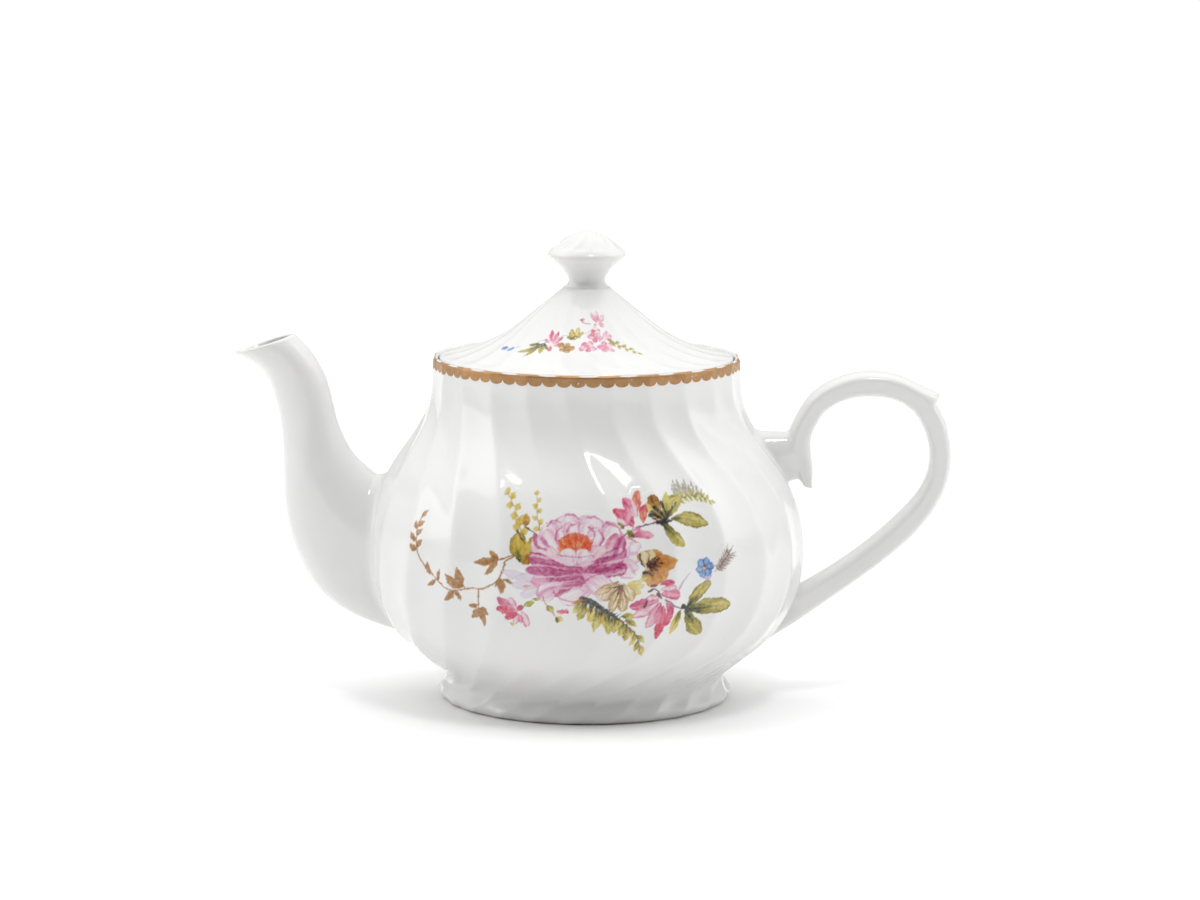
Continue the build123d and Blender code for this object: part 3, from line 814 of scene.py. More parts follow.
def paint_peony(sheet):
    edge = (210, 104, 156)
    sheet.petals((
        (-16, 53, -27, 55.2, 1.5), (-15, 51, -24, 51, 1.5), (-15, 50, -21, 47.4, 1.5),
        (-12, 55, -22.6, 53.2, 1.5)),
        ink="lilac", bend=0.5, blunt=0.5, flush="none", rim=(214, 170, 204), strength=0.7)
    sheet.petals((
        (8, 58.6, 18.6, 64.2, 2.4), (8, 58.6, 18.4, 60.2, 2.4), (8, 58.6, 17.6, 56.4, 2.4),
        (8, 58.6, 16.4, 54, 2.4)),
        ink="shell", blunt=0.6, flush="sides", streak=1.0, rim=(222, 160, 198), strength=0.85)
    sheet.petals((
        (-4, 60, -6.5, 73.4, 5.4, 0.4, 0.9, 1.1), (-1, 60, 3.5, 72.8, 5.4, -0.4, 0.9, 1.1),
        (-5, 60, -13.8, 70.2, 4.4, 0.8, 0.9, 1.1), (1, 60, 11.5, 70, 4.6, -0.8, 0.9, 1.1),
        (-6, 59, -17.4, 65.4, 3.6, 0.6, 0.9, 1.1), (2, 59, 14.8, 65.4, 3.8, -0.6, 0.9, 1.1),
        (-6, 60.5, -13.4, 68.6, 2.4, 1, 0.8, 1.2)),
        also="bend blunt streak", ink="shell", flush="sides", rim=edge)
    sheet.petal((4, 60), (11, 67.4), 2.2, "blush", bend=-0.8, blunt=0.8, flush="tip", streak=1.2, rim=edge)
    pleat = (198, 88, 148)
    sheet.strokes(pleat, (
        (0.35, -12.6, 69.6, -10.6, 71.4, -8.2, 71), (0.4, -6.6, 73, -4, 73.2, -1.6, 71.8),
        (0.35, 0.6, 72.2, 3.8, 72.4, 6.4, 71), (0.45, 7.4, 70.6, 10.6, 69.8, 12.2, 67)), 0.6)
    sheet.stroke([(-16.6, 66.6), (-15.8, 63.4), (-12.4, 62.4)], 0.8, pleat, 0.7)
    sheet.stroke([(-14.4, 65.8), (-12.4, 64), (-9.8, 62.6)], 0.6, pleat, 0.6)
    sheet.petals((
        (-3.4, 63, -8.8, 69.6, 2.7, 0.5), (-3.4, 63, -4.4, 71.4, 3.2, 0.2), (-2, 63, 1.4, 70.6, 3, -0.3),
        (-1, 63, 5.4, 68.6, 2.8, -0.5)),
        also="bend", ink="shell", blunt=1.0, flush="sides", streak=1.2, rim=edge)
    sheet.strokes((206, 92, 148), (
        (0.45, -9.4, 65.4, -9.2, 68, -7.4, 69.8), (0.45, -5.8, 68.2, -4.6, 70, -2.8, 70.4),
        (0.45, 1.4, 69.4, 3, 68, 2.6, 65.4), (0.45, 4.6, 68.4, 6, 66.4, 4.8, 63.6)), 0.65)
    sheet.petal((-3.2, 61.6), (-3.2, 67.8), 5.2, "salmon", blunt=0.5, flush="all", streak=0.5)
    paint_stamens(sheet, -3.2, 62.2)
    sheet.petals((
        (-3, 56.5, -12.2, 63, 2.2, 1, "blush"), (-3, 56, 6.6, 63.4, 2.4, -1, "blush"),
        (-3.4, 56, -6.4, 62.8, 3, 0.3, "shell"), (-2.4, 56, 0.6, 62.4, 3, -0.3, "shell")),
        also="bend ink", blunt=1.0, streak=1.0, rim=edge)
    sheet.petals((
        (-1, 55.5, -18.6, 60.6, 2.8, 1.2, "all"), (0, 56, 13.6, 62.4, 3.4, -1, "all"),
        (-1, 55, -19.4, 55.6, 2.2, -0.4, "all"), (0, 54.4, 13.8, 57, 2.9, 0.5, "all"),
        (3, 51.6, -17.6, 52, 3.2, -1, "base"), (-3, 53.2, -15.6, 57.6, 2, 0.8, "all"),
        (4, 52.6, -5, 57, 2.8, 0.6, "all"), (7, 57, 12.8, 66.8, 2, -0.6, "tip"),
        (-2, 50, -16, 48, 2.4, -0.6, "base")),
        also="bend flush", ink="magenta", blunt=0.7, streak=1.1, strength=0.9)
    sheet.strokes((250, 232, 242), (
        (0.5, -17.6, 60.4, -10, 59.6, -3.4, 58.2), (0.6, -15, 61.8, -8, 60.6, -2, 59.4),
        (0.6, 11.8, 62.6, 6, 60.6, 0, 59), (0.4, 13.2, 59.6, 7, 58.4, 2, 57.6),
        (0.35, -18.4, 57, -12, 57.4, -6, 56.4), (0.35, -16, 53.6, -9, 54, -3, 54.8),
        (0.35, 12.6, 56, 8, 54.6, 3, 54.8), (0.45, -9, 59.2, -2, 57.6, 6, 59.4),
        (0.3, -14, 51.4, -8, 52.2, -2, 52.8), (0.3, -12, 49.4, -6, 50.4, 0, 51)), 0.7, fine=0.3)
    sheet.strokes((176, 62, 122), (
        (0.6, -17.4, 58.6, -9, 57.6, -1, 57), (0.9, -15, 55, -8, 55, -2.6, 56),
        (0.7, -12, 53, -7, 53, -2, 54), (0.9, 2, 57, 7, 59.4, 11.8, 61.2), (0.7, 4, 56, 9, 56.8, 13, 58),
        (0.25, -9, 61, -3, 60.2, 3, 60.8), (0.6, -1, 53.8, 3, 55.6, 8, 56),
        (0.6, 9.4, 61, 11, 63.6, 11.4, 66)), 0.5)
    sheet.petals((
        (-6, 52.6, -14.8, 46.6, 2.8, -0.5), (4, 53.4, -7.6, 46, 3, 1.2), (-1, 55, 8.2, 47.4, 3.9, 0.8)),
        also="bend", ink="shell", blunt=0.95, streak=1.0, rim=(206, 120, 170))
    fold = (204, 104, 160)
    sheet.stroke([(-14.4, 47.6), (-12.4, 49.6), (-9, 50.8)], 0.7, fold, 0.5)
    sheet.stroke([(-1.4, 51), (2.8, 54.2), (7.2, 54.6), (9, 51)], 0.3, fold, 0.7)
    sheet.stroke([(-10, 49.6), (-8, 47.2), (-3.4, 46), (1, 46.4)], 0.22, fold, 0.8)
    sheet.stroke([(-6, 51.4), (-2, 50.8), (0, 49)], 0.3, fold, 0.5)


def paint_stamens(sheet, middle, foot):
    """Short strokes in coral and orange, under an arched top edge."""
    coral = [(232, 92, 58), (240, 132, 84), (226, 80, 66), (248, 190, 110), (240, 110, 60), (236, 100, 72)]
    for k in range(STAMENS):
        x = middle + 5.0 * (sheet.random.random() * 2 - 1)
        top = 67 - 0.1 * (x - middle) ** 2
        y = foot + (top - foot) * sheet.random.random()
        lean = (x - middle) * 0.16
        sheet.stroke([(x - lean * 0.5, y - 0.6), (x + lean, y + 0.9)], 0.4, coral[k % len(coral)], 0.8)


def paint_upper_right(sheet):
    for k in range(17):
        lean = math.radians(12 + 5.2 * k)
        reach = 10.5 - 0.25 * k + 1.8 * math.sin(k * 2.3)
        x, y = 33.5 + reach * math.cos(lean), 76.4 + 0.62 * reach * math.sin(lean)
        sheet.stroke([(33.5, 76.4), (x, y)], 0.09, (196, 192, 172), 0.7)
        for step in range(5):
            at = x - 0.9 * step * math.cos(lean), y - 0.6 * step * math.sin(lean)
            off = 0.6 if step % 2 else -0.5
            sheet.petal(at, (at[0] + 0.5 + off, at[1] + 0.9 - 0.5 * off), 0.34, "grey", strength=0.8)
    sheet.sprig([(29, 75.6), (36, 77.2), (42, 77.4), (47.4, 75.6)], 2.8, 0.55, "lime", 1.0, STEM, spread=50)
    sheet.petal((26, 71.4), (35.6, 77.8), 2.5, "moss", bend=0.5, blunt=0.3, streak=0.9, rim=(140, 128, 50))
    sheet.petal((27.6, 73), (30.4, 79.4), 1.5, "lime", blunt=0.3)
    sheet.petal((24.6, 70.8), (24.2, 79), 2.5, "ochre", bend=-0.3, blunt=0.6, flush="tip", streak=0.9,
                rim=(170, 116, 40))
    sheet.petal((24.4, 71), (21.6, 76.6), 1.2, "lemon", blunt=0.4)
    sheet.petal((30, 71.4), (44, 68.6), 2.5, "moss", bend=0.7, blunt=0.5, flush="sides", streak=0.8,
                vein=(104, 98, 36), rim=(124, 116, 40))
    sheet.petal((26.6, 70.6), (33.8, 62.6), 2.0, "moss", bend=-0.5, blunt=0.45, streak=0.9, vein=SEPAL,
                rim=(100, 92, 32))
    sheet.petals((
        (26.4, 70.8, 31, 65.6, 1.1), (26.8, 71, 32, 75, 0.9), (30, 71.5, 34.6, 71, 0.8)),
        ink="olive", streak=0.8)
    sheet.strokes(DARK, (
        (0.8, 23.4, 73.4, 25.6, 72, 27.8, 71), (0.7, 24.8, 75, 26.6, 73, 28.4, 71.4),
        (0.6, 27.4, 76.4, 28.2, 73.6, 28.8, 71.6), (0.3, 28.4, 72.4, 31, 74.4, 33.4, 76),
        (0.45, 22.4, 72.8, 24.4, 71.2), (0.7, 25.2, 70.4, 30.4, 70.8), (0.5, 26.2, 70, 28, 68)), 0.88)
    sheet.stroke([(12.8, 66.8), (17, 68.8), (21, 69.8), (25.6, 70.6)], 0.26, MAUVE, fine=0.9)
    sheet.stroke([(14.4, 66.4), (16.6, 65), (18.8, 63)], 0.34, (206, 120, 128), 0.8)
    sheet.petals((
        (17, 72.4, 9.6, 74.6, 1.7, "crimson", "tip"), (16.6, 70.4, 10.8, 72, 1.4, "blush", "sides"),
        (16.2, 69.2, 13.2, 74.6, 1.5, "rose", "tip"), (18.3, 72.8, 13.6, 78.2, 1.8, "rose", "tip"),
        (18.4, 73.6, 19.3, 80.4, 1.7, "salmon", "all"), (18, 72, 17, 77.4, 1.5, "blush", "sides"),
        (19.5, 72, 21.8, 75.8, 1.5, "crimson", "all"), (20, 70.4, 20.9, 74.6, 1.3, "salmon", "all"),
        (16.6, 69, 15.2, 73.6, 1.4, "rose", "base"), (15.2, 67, 23.2, 66.3, 1.4, "rose", "base"),
        (15, 67.4, 19, 68.8, 0.8, "blush", "tip")), also="ink flush", curve=0.2, blunt=0.5, streak=1.1)
    sheet.petals(((16.6, 66.2, 13.6, 68.6, 0.9), (13, 69, 11, 71, 0.7)), ink="olive")


def paint_pansy(sheet):
    sheet.petals((
        (20.6, 57, 25.6, 61, 3, "amber", 0.9), (20.6, 57, 30.6, 58.2, 2.9, "amber", 0.2),
        (20.6, 57, 27, 53, 3.1, "amber", 0.9), (20.6, 57, 23.4, 50.8, 2.9, "amber", 0.9),
        (20.6, 57, 20.4, 51.8, 2, "ochre", 0.9)), also="ink blunt", rim=(160, 100, 40))
    sheet.petals((
        (20.4, 57, 22.4, 62, 2.4, (196, 150, 62)), (20.2, 57, 18.9, 61.8, 2.1, (150, 118, 50))),
        also="rim", ink="cream", blunt=1.0, flush="sides")
    sheet.strokes((82, 44, 30), (
        (0.6, 20.9, 57.4, 23.8, 60), (0.8, 20.9, 57.4, 24.6, 59), (0.8, 20.9, 57.4, 25.4, 57.8),
        (0.7, 20.9, 57.4, 25, 56.6), (0.6, 20.9, 57.4, 24, 55.4), (0.5, 20.9, 57.4, 22.6, 54.2),
        (0.5, 20.9, 57.4, 21.2, 59.6)), 0.8, fine=0.3)
    sheet.stroke([(18.2, 60.8), (18.3, 58.6), (19.6, 56.8)], 0.38, (62, 46, 30), 0.85)
    sheet.stroke([(19.2, 54.9), (20.4, 54.8), (22.4, 53.8)], 0.5, (56, 38, 26), 0.85, fine=0.3)
    sheet.wash((20.3, 56), (1.5, 0.7), (246, 240, 230), 1.0)


def paint_lower_right(sheet):
    sheet.stroke([(31, 49), (33, 51.8), (35.4, 54)], 0.36, (206, 168, 196), 0.8)
    sheet.stroke([(26.4, 46), (28.6, 44.4), (31.5, 42.8), (34, 42.4)], 0.26, MAUVE, fine=0.9)
    sheet.petals((
        (24.4, 46, 14.6, 43.8, 2, "rose", "tip"), (24.4, 45.4, 15.6, 40.4, 1.7, "blush", "sides"),
        (24.6, 45, 20.6, 36.6, 1.8, "blush", "sides"), (26, 44, 24.2, 32.6, 1.5, "crimson", "tip"),
        (25, 45, 23.4, 38, 1.4, "rose", "base"), (28.4, 43.6, 26.8, 37, 1.5, "crimson", "tip"),
        (26.6, 45, 29.2, 40.4, 1.3, "rose", "all"), (25, 47.8, 31.7, 46.6, 1.8, "rose", "sides"),
        (24.8, 49.2, 30.4, 49.6, 1.2, "blush", "sides"), (24.5, 51, 29.5, 51.4, 1, "crimson", "all"),
        (24.6, 47, 20, 46.6, 1.2, "blush", "sides")),
        also="ink flush", curve=0.2, blunt=0.55, streak=0.9, rim=(206, 84, 120))
    sheet.strokes((84, 40, 48), (
        (0.5, 19.6, 43.8, 20.6, 45.8), (0.6, 24, 47.8, 25.4, 46.4), (0.35, 21, 48.8, 23, 49.4, 24.4, 48.4),
        (0.4, 22, 50.6, 23.6, 50.8)), 0.8)
    for base, tip, half, bend in (((34.2, 42.4), (43.2, 50.6), 2.2, 0.6), ((34.6, 42), (52, 41.8), 2.9, 0.5),
                                  ((34.2, 41.4), (41.4, 33), 2.6, -0.6)):
        middle = tuple(np.array(base) * 0.45 + np.array(tip) * 0.55)
        sheet.petal(base, tip, half, "moss", bend=bend, blunt=0.5, flush="sides", streak=0.9, vein=SEPAL,
                    rim=(118, 108, 38))
        sheet.petal(base, middle, 0.55 * half, "olive", streak=0.8)
        sheet.stroke([base, middle], 0.45, DARK, 0.85, fine=0.15)
    sheet.petal((32.2, 42), (29.4, 33.6), 1.6, "lemon", vein=SEPAL)
    sheet.petal((32.2, 42), (31, 37.4), 0.8, "olive")
    sheet.stroke([(33, 43.4), (34.6, 41.4)], 0.7, DARK)
    sheet.petal((41, 55), (42.4, 51), 1.3, "lilac", blunt=1.0, flush="tip", rim=(120, 110, 190))
    sheet.bloom((40.9, 55.1), 3.4, 1.4, "blue", 6, 10, blunt=0.8, flush="sides", streak=1.1)
    sheet.bloom((40.9, 55.1), 1.8, 0.5, "dusk", 6, 40, flush="all", strength=0.5)
    sheet.wash((40.8, 55), (0.8, 0.8), (236, 232, 214), 1.0)
    sheet.stroke([(43.4, 55.6), (46, 55.4), (48, 56.6)], 0.16, (150, 150, 190), 0.7)
    for k in range(7):
        x, y = 45.6 + 0.75 * k, 54.2 + 0.72 * k
        size = 1.5 + 0.16 * k
        for right, up in ((-0.35, 1.25), (0.15, 1.5), (1.7, -0.5), (1.9, 0.1), (1.3, 1.1)):
            sheet.petal((x, y), (x + size * right, y + size * up), 0.26, "dusk", strength=0.55)
    sheet.stroke([(44.6, 53.6), (48, 56.8), (51.4, 60)], 0.14, (120, 94, 86), 0.7)


def paint_lower_middle(sheet):
    sheet.petals((
        (13.6, 50, 16.4, 52.4, 1.2), (13.6, 50, 19.6, 50.8, 1.1), (13.6, 50, 18.4, 48.2, 1.3),
        (13.6, 50, 20.4, 53.4, 0.9)),
        ink="lemon", blunt=0.3, flush="none", streak=1.0, rim=(206, 180, 96), strength=0.75)
    sheet.petals((
        (11.5, 52, 5.4, 46.4, 1.9), (11.8, 51.6, 8.4, 42.8, 1.9), (12, 51.4, 12.4, 42.4, 2),
        (12.4, 51.8, 15.8, 46, 1.9), (11, 52.6, 3.4, 48.4, 1.3)),
        ink="cream", blunt=0.7, flush="sides", streak=1.1, vein=(140, 92, 50), rim=(170, 126, 60))
    sheet.strokes((112, 62, 50), (
        (0.34, 11.6, 51, 7.2, 47.4), (0.34, 11.6, 51, 9.2, 45.6), (0.34, 11.6, 51, 11.6, 45),
        (0.34, 11.6, 51, 13.8, 46.4), (0.34, 11.6, 51, 6.6, 50.2)), 0.8, fine=0.2)
    hanging = (
        (-1.4, 45.8, -3.8, 42, 1.1), (0.4, 45.6, -2.2, 39.6, 1.5), (2.2, 44.8, 1.6, 38.8, 1.4),
        (4.2, 43.6, 3, 35.6, 1.4), (5.4, 43, 5.2, 38.4, 1.2), (6.4, 42.6, 7, 36.6, 1.4),
        (7.6, 41.8, 7.8, 34.6, 1.4), (9.6, 41, 9.8, 35, 1.4), (11.4, 40.4, 10.8, 36, 1.2),
        (13, 39, 11.6, 34, 1.3), (14, 38, 13.8, 32, 1.4), (15, 36.6, 16.8, 32.6, 1.2),
        (12, 41, 16.8, 40.4, 1.1), (13.4, 39.6, 17.4, 37.4, 1), (17, 34.6, 15.8, 30.4, 1),
        (17.6, 34, 20.6, 31.4, 1), (18.4, 32, 17.4, 28.2, 0.9), (18.8, 31, 20.4, 26.6, 1.1))
    for k, (x, y, tip_x, tip_y, half) in enumerate(hanging):
        ink = ("lime", "moss", "lemon")[k % 3]
        sheet.petal((x, y), (tip_x, tip_y), half, ink, bend=0.2, blunt=0.2, streak=1.2)
        middle = (0.45 * x + 0.55 * tip_x, 0.45 * y + 0.55 * tip_y)
        sheet.stroke([(x, y), middle], 0.3, SEPAL, 0.75, fine=0.2)
    sheet.stroke([(0, 46.4), (3.4, 45), (6.6, 42.6), (10.4, 40.6), (14, 37.6), (17.6, 33.8), (19.6, 28.6)],
                 0.34, SEPAL, 0.85)
    sheet.stroke([(-0.8, 46.6), (2.6, 45.7), (5.4, 43.8), (8.4, 42), (10.8, 40)], 1, DARK, fine=0.4)
    for k in range(11):
        x = -0.2 + 1.05 * k
        sheet.stroke([(x, 46.5 - 0.56 * k), (x - 1.0 + 0.3 * (k % 3), 43.8 - 0.6 * k)], 0.36, DARK, 0.75, 0.2)
        sheet.stroke([(x, 46.4 - 0.56 * k), (x + 1.3, 46.9 - 0.5 * k)], 0.26, DARK, 0.6, 0.2)
    sheet.petal((0.4, 46.4), (-4.4, 45.4), 0.7, "ochre")
    sheet.petals((
        (-22, 41.6, -28.6, 46.2, 1.5, "rose", "tip"), (-22, 41.6, -29.2, 42.8, 1.3, "crimson", "tip"),
        (-22, 41.4, -26.6, 39.6, 1.2, "crimson", "all"), (-21.8, 41.2, -23.6, 37.6, 1.1, "blush", "sides"),
        (-22, 42, -24.6, 46.4, 1.2, "blush", "sides"), (-21.8, 42, -20.4, 44, 1, "rose", "all"),
        (-20.8, 42.2, -18.9, 36.8, 1.5, "blush", "sides"), (-22, 41, -21, 38, 0.8, "rose", "sides")),
        also="ink flush", bend=0.15, blunt=0.6, streak=0.9, rim=(210, 80, 130))
    sheet.petal((-25, 38), (-23.6, 36.6), 0.5, "lemon")
    sheet.stroke([(-21, 42.6), (-19.4, 44.2), (-16, 46.6)], 0.18, STEM)
    sheet.petal((-19.8, 44), (-16.2, 45.4), 0.9, "lime", rim=(130, 128, 50))
    sheet.petal((-16.4, 46), (-14, 47), 0.5, "lime")
    sheet.stroke([(-13.2, 47.2), (-12.6, 45), (-11, 43.4)], 0.18, STEM)
    sheet.petal((-12.4, 44.4), (-9.8, 42.4), 1.0, "lime", rim=(130, 128, 50))
    sheet.petal((-9.4, 40.6), (-7, 39.4), 1.1, "lemon", blunt=0.4)
    sheet.petal((-9, 40.8), (-8.6, 38.6), 0.6, "olive")
    sheet.stroke([(-10.4, 42.6), (-9.4, 41)], 0.16, STEM)
    sheet.petal((-5, 42.4), (-9, 42.6), 0.7, "crimson", blunt=0.6)
    sheet.petal((-5, 41.8), (-6.4, 43.6), 0.6, "rose")
    sheet.petal((-20, 50.2), (-17, 50.6), 0.5, "salmon", strength=0.7)


def paint_bouquet():
    sheet = Sheet(low=(-70, 24), high=(56, 86), per_mm=8, seed=11)
    for paint in (paint_bronze_spray, paint_left_sprigs, paint_upper_right, paint_peony, paint_pansy,
                  paint_lower_middle, paint_lower_right):
        paint(sheet)
    loosen(sheet, wander=0.13, patch=0.8, pooling=0.13)
    return sheet


def paint_lid_spray():
    """The lid's small spray: y is the distance from the knob's axis."""
    sheet = Sheet(low=(-33, 13), high=(18, 37), per_mm=9, seed=5)
    sheet.stroke([(-19, 27), (-14, 26.4), (-8, 24), (-2, 23.4), (5, 20.4)], 0.14, STEM, 0.6)
    sheet.petals((
        (-16.4, 29, -22.4, 33.2, 1.2, "moss"), (-16.4, 29, -19, 35, 1, "moss"),
        (-15.6, 28.4, -14.4, 33.2, 0.9, "lime"), (-17, 28.4, -21.4, 28.6, 0.8, "olive"),
        (-15.4, 28, -12.6, 30.4, 0.6, "olive")), also="ink", vein=SEPAL, blunt=0.2)
    sheet.strokes(DARK, (
        (0.34, -18.6, 30.4, -16.6, 28.8, -15, 27), (0.34, -16.4, 30.2, -15.2, 28),
        (0.34, -18.2, 28.4, -14.8, 28.8)), 0.85)
    sheet.petals((
        (-13.2, 26.8, -15.8, 22.4, 0.9, "crimson"), (-12.8, 27.4, -12.2, 22.8, 0.9, "rose"),
        (-12.4, 27.6, -9.2, 25, 0.9, "rose"), (-12.4, 28, -9, 28, 0.9, "blush"),
        (-12.8, 28, -12, 31, 0.8, "rose"), (-13.4, 27.4, -16.2, 26, 0.6, "blush")),
        also="ink", blunt=0.6, flush="tip", streak=1.0)
    sheet.petals((
        (-7.2, 29.4, -10, 27.6, 1.1), (-7.2, 29.4, -8.4, 31.4, 1.1), (-7.2, 29.4, -5.6, 31.6, 1.1),
        (-7.2, 29.4, -3.8, 29, 1.1), (-7.2, 29.4, -6.2, 27, 1.1)),
        ink="ochre", blunt=0.8, streak=0.9, rim=(176, 120, 60))
    sheet.wash((-7.2, 29.4), (0.7, 0.7), (110, 70, 44), 0.7)
    sheet.petals((
        (-4.6, 25.6, -7, 21.6, 1.1, "mustard"), (-4.4, 25.6, -3.4, 21.2, 1.1, "lemon"),
        (-4.4, 25.4, -1.2, 22.8, 0.7, "lime"), (-4.4, 25.4, -8, 24.4, 0.6, "olive")),
        also="ink", blunt=0.5, flush="sides", rim=(150, 134, 50))
    sheet.stroke([(-6, 25), (-4.2, 24.2), (-2.6, 25)], 0.3, SEPAL, 0.8)
    heads = (((0.4, 28.8), 3.2, 1.25, "rose", 10), ((6.8, 28.8), 3.1, 1.2, "rose", 44),
             ((3.6, 24), 3.2, 1.25, "crimson", 30), ((8.4, 24.4), 2.2, 0.9, "blush", 0))
    for centre, reach, half, ink, turn in heads:
        for k in range(5):
            lean = math.radians(turn + 72 * k)
            far = reach * (1 - 0.22 * (k % 2))
            tip = (centre[0] + far * math.cos(lean), centre[1] + far * math.sin(lean))
            sheet.petal(centre, tip, half, ("blush", ink)[k % 2], blunt=0.7, flush="tip", streak=1.3,
                        strength=0.8)
        sheet.bloom(centre, 0.6 * reach, 0.2 * half, ink, 5, turn + 10, strength=0.8)
        sheet.wash(centre, (0.4, 0.4), (252, 236, 206), 0.9)
    sheet.petals((
        (5.4, 19.4, 2.6, 15.8, 1.1), (5.8, 19.2, 6.4, 15.2, 1.1), (6.2, 19.4, 10, 16.8, 1),
        (5.8, 20, 9, 20.4, 0.9), (5.2, 20, 3.4, 21, 0.7)),
        ink="blush", blunt=0.6, streak=1.1, rim=(232, 150, 176))
    sheet.stroke([(-3.4, 18.4), (-0.6, 19.6), (2.4, 19.8)], 0.2, MAUVE, 0.8)
    sheet.petal((-3.2, 18.8), (-0.6, 18), 0.6, "rose")
    sheet.sprig([(8.8, 25), (11.4, 27.6), (14, 30), (16.4, 32.6)], 2.2, 0.62, "lime", 1.3, STEM, spread=50)
    sheet.petal((9, 25), (10.4, 28.6), 0.8, "moss", vein=SEPAL)
    for centre in ((-26.8, 31.8), (-29.6, 32.2)):
        sheet.bloom(centre, 1.2, 0.5, "blue", 5, 40, blunt=0.7, flush="sides", streak=1.0)
    sheet.petal((-25.2, 31.2), (-23.8, 30.4), 0.4, "grey")
    loosen(sheet, wander=0.12, patch=0.7, pooling=0.12)
    return sheet


def wrap(name, sheet, step, place, material, body):
    """Cuts the sheet out round its print and lays it on as a film; place gives points on the glaze."""
    each = int(round(step * sheet.per_mm))
    soft = sheet.ink.copy()
    for axis in (0, 1):
        soft = (np.roll(soft, 1, axis) + 2 * soft + np.roll(soft, -1, axis)) / 4
    ink = soft[::each, ::each]
    rows, columns = ink.shape[:2]
    keep = (ink.min(axis=2) < BARE_PAPER).astype(float)
    for _ in range(int(round(FILM_MARGIN / step))):
        for axis in (0, 1):
            keep = np.maximum(keep, np.maximum(np.roll(keep, 1, axis), np.roll(keep, -1, axis)))
    x = sheet.low[0] + np.arange(columns) * each / sheet.per_mm
    y = sheet.low[1] + np.arange(rows) * each / sheet.per_mm
    x, y = np.meshgrid(x, y)
    quads = grid_faces(rows, columns, False)
    quads = quads[keep.reshape(-1)[quads].min(axis=1) > 0]
    used, quads = np.unique(quads, return_inverse=True)
    quads = quads.reshape(-1, 4)
    side = np.sort(np.concatenate([quads[:, [i, (i + 1) % 4]] for i in range(4)]), axis=1)
    side, count = np.unique(side, axis=0, return_counts=True)
    border = np.unique(side[count == 1])
    proud = np.full(len(used), FILM_PROUD)
    proud[border] = -FILM_TUCK
    points = place(x.reshape(-1)[used], y.reshape(-1)[used], proud)
    piece = make_piece(name, points, quads, material, body)
    outward = points[quads[0]].mean(axis=0)
    if Vector(piece.data.polygons[0].normal).dot(Vector(outward)) < 0:
        piece.data.flip_normals()
    linear = (ink.reshape(-1, 3)[used] / 255) ** INK_GAMMA
    with_alpha = np.column_stack([linear, np.ones(len(used))]).astype(np.float32)
    layer = piece.data.color_attributes.new("ink", "FLOAT_COLOR", "POINT")
    layer.data.foreach_set("color", with_alpha.reshape(-1))
    return piece


# ---- materials ----


class Nodes:
    """A node tree built one node at a time."""

    def __init__(self, tree):
        self.tree = tree

    def feed(self, socket, value):
        """Links a socket to a node's output, or gives it a number or a colour."""
        if isinstance(value, bpy.types.NodeSocket):
            self.tree.links.new(value, socket)
        else:
            socket.default_value = value

    def add(self, kind, inputs=None, **settings):
        made = self.tree.nodes.new(kind)
        for key, value in settings.items():
            setattr(made, key, value)
        for key, value in (inputs or {}).items():
            self.feed(made.inputs[key], value)
        return made

    def spread(self, value, low, high, start=0.3, end=0.7, **settings):
        """Spreads a part of a value's range, as the middle of a noise, over a range of numbers."""
        inputs = {0: value, 1: start, 2: end, 3: low, 4: high}
        return self.add("ShaderNodeMapRange", inputs, **settings).outputs[0]

    def multiply(self, a, b):
        return self.add("ShaderNodeMath", {0: a, 1: b}, operation="MULTIPLY").outputs[0]


class Shader(Nodes):
    """A material with one Principled BSDF."""

    def __init__(self, name):
        self.material = bpy.data.materials.new(name)
        self.material.use_nodes = True
        super().__init__(self.material.node_tree)
        self.surface = self.tree.nodes["Principled BSDF"]

    def set(self, name, value):
        """Feeds an input of the surface."""
        self.feed(self.surface.inputs[name], value)

    def noise(self, scale, detail=2.0, roughness=0.5):
        """Noise in the object's own space, with about scale waves to a metre."""
        where = self.add("ShaderNodeTexCoord").outputs["Object"]
        inputs = {"Vector": where, "Scale": scale, "Detail": detail, "Roughness": roughness}
        return self.add("ShaderNodeTexNoise", inputs).outputs[0]

    def attribute(self, name, output):
        return self.add("ShaderNodeAttribute", attribute_name=name).outputs[output]

    def mix(self, factor, a, b, blend="MIX"):
        made = self.add("ShaderNodeMix", data_type="RGBA", blend_type=blend)
        self.feed(made.inputs[0], factor)
        for index, colour in ((6, a), (7, b)):
            self.feed(made.inputs[index], (*colour, 1.0) if isinstance(colour, tuple) else colour)
        return made.outputs[2]

    def bump(self, strength, distance, scale):
        """Fine waves in the surface."""
        inputs = {"Strength": strength, "Distance": distance, "Height": self.noise(scale)}
        self.set("Normal", self.add("ShaderNodeBump", inputs).outputs[0])


GLAZE = (0.80, 0.797, 0.787)
GLAZE_COOL = (0.775, 0.778, 0.772)
PINHOLE = (0.55, 0.5, 0.43)
BISQUE = (0.74, 0.71, 0.66)
BISQUE_DARK = (0.66, 0.62, 0.56)
BISQUE_ROUGHNESS = 0.75
GOLD = (0.40, 0.215, 0.09)
GOLD_LIGHT = (0.49, 0.285, 0.13)
GOLD_STREAK = (0.31, 0.155, 0.06)
GOLD_METALLIC = 0.55
WHITE = (1, 1, 1)


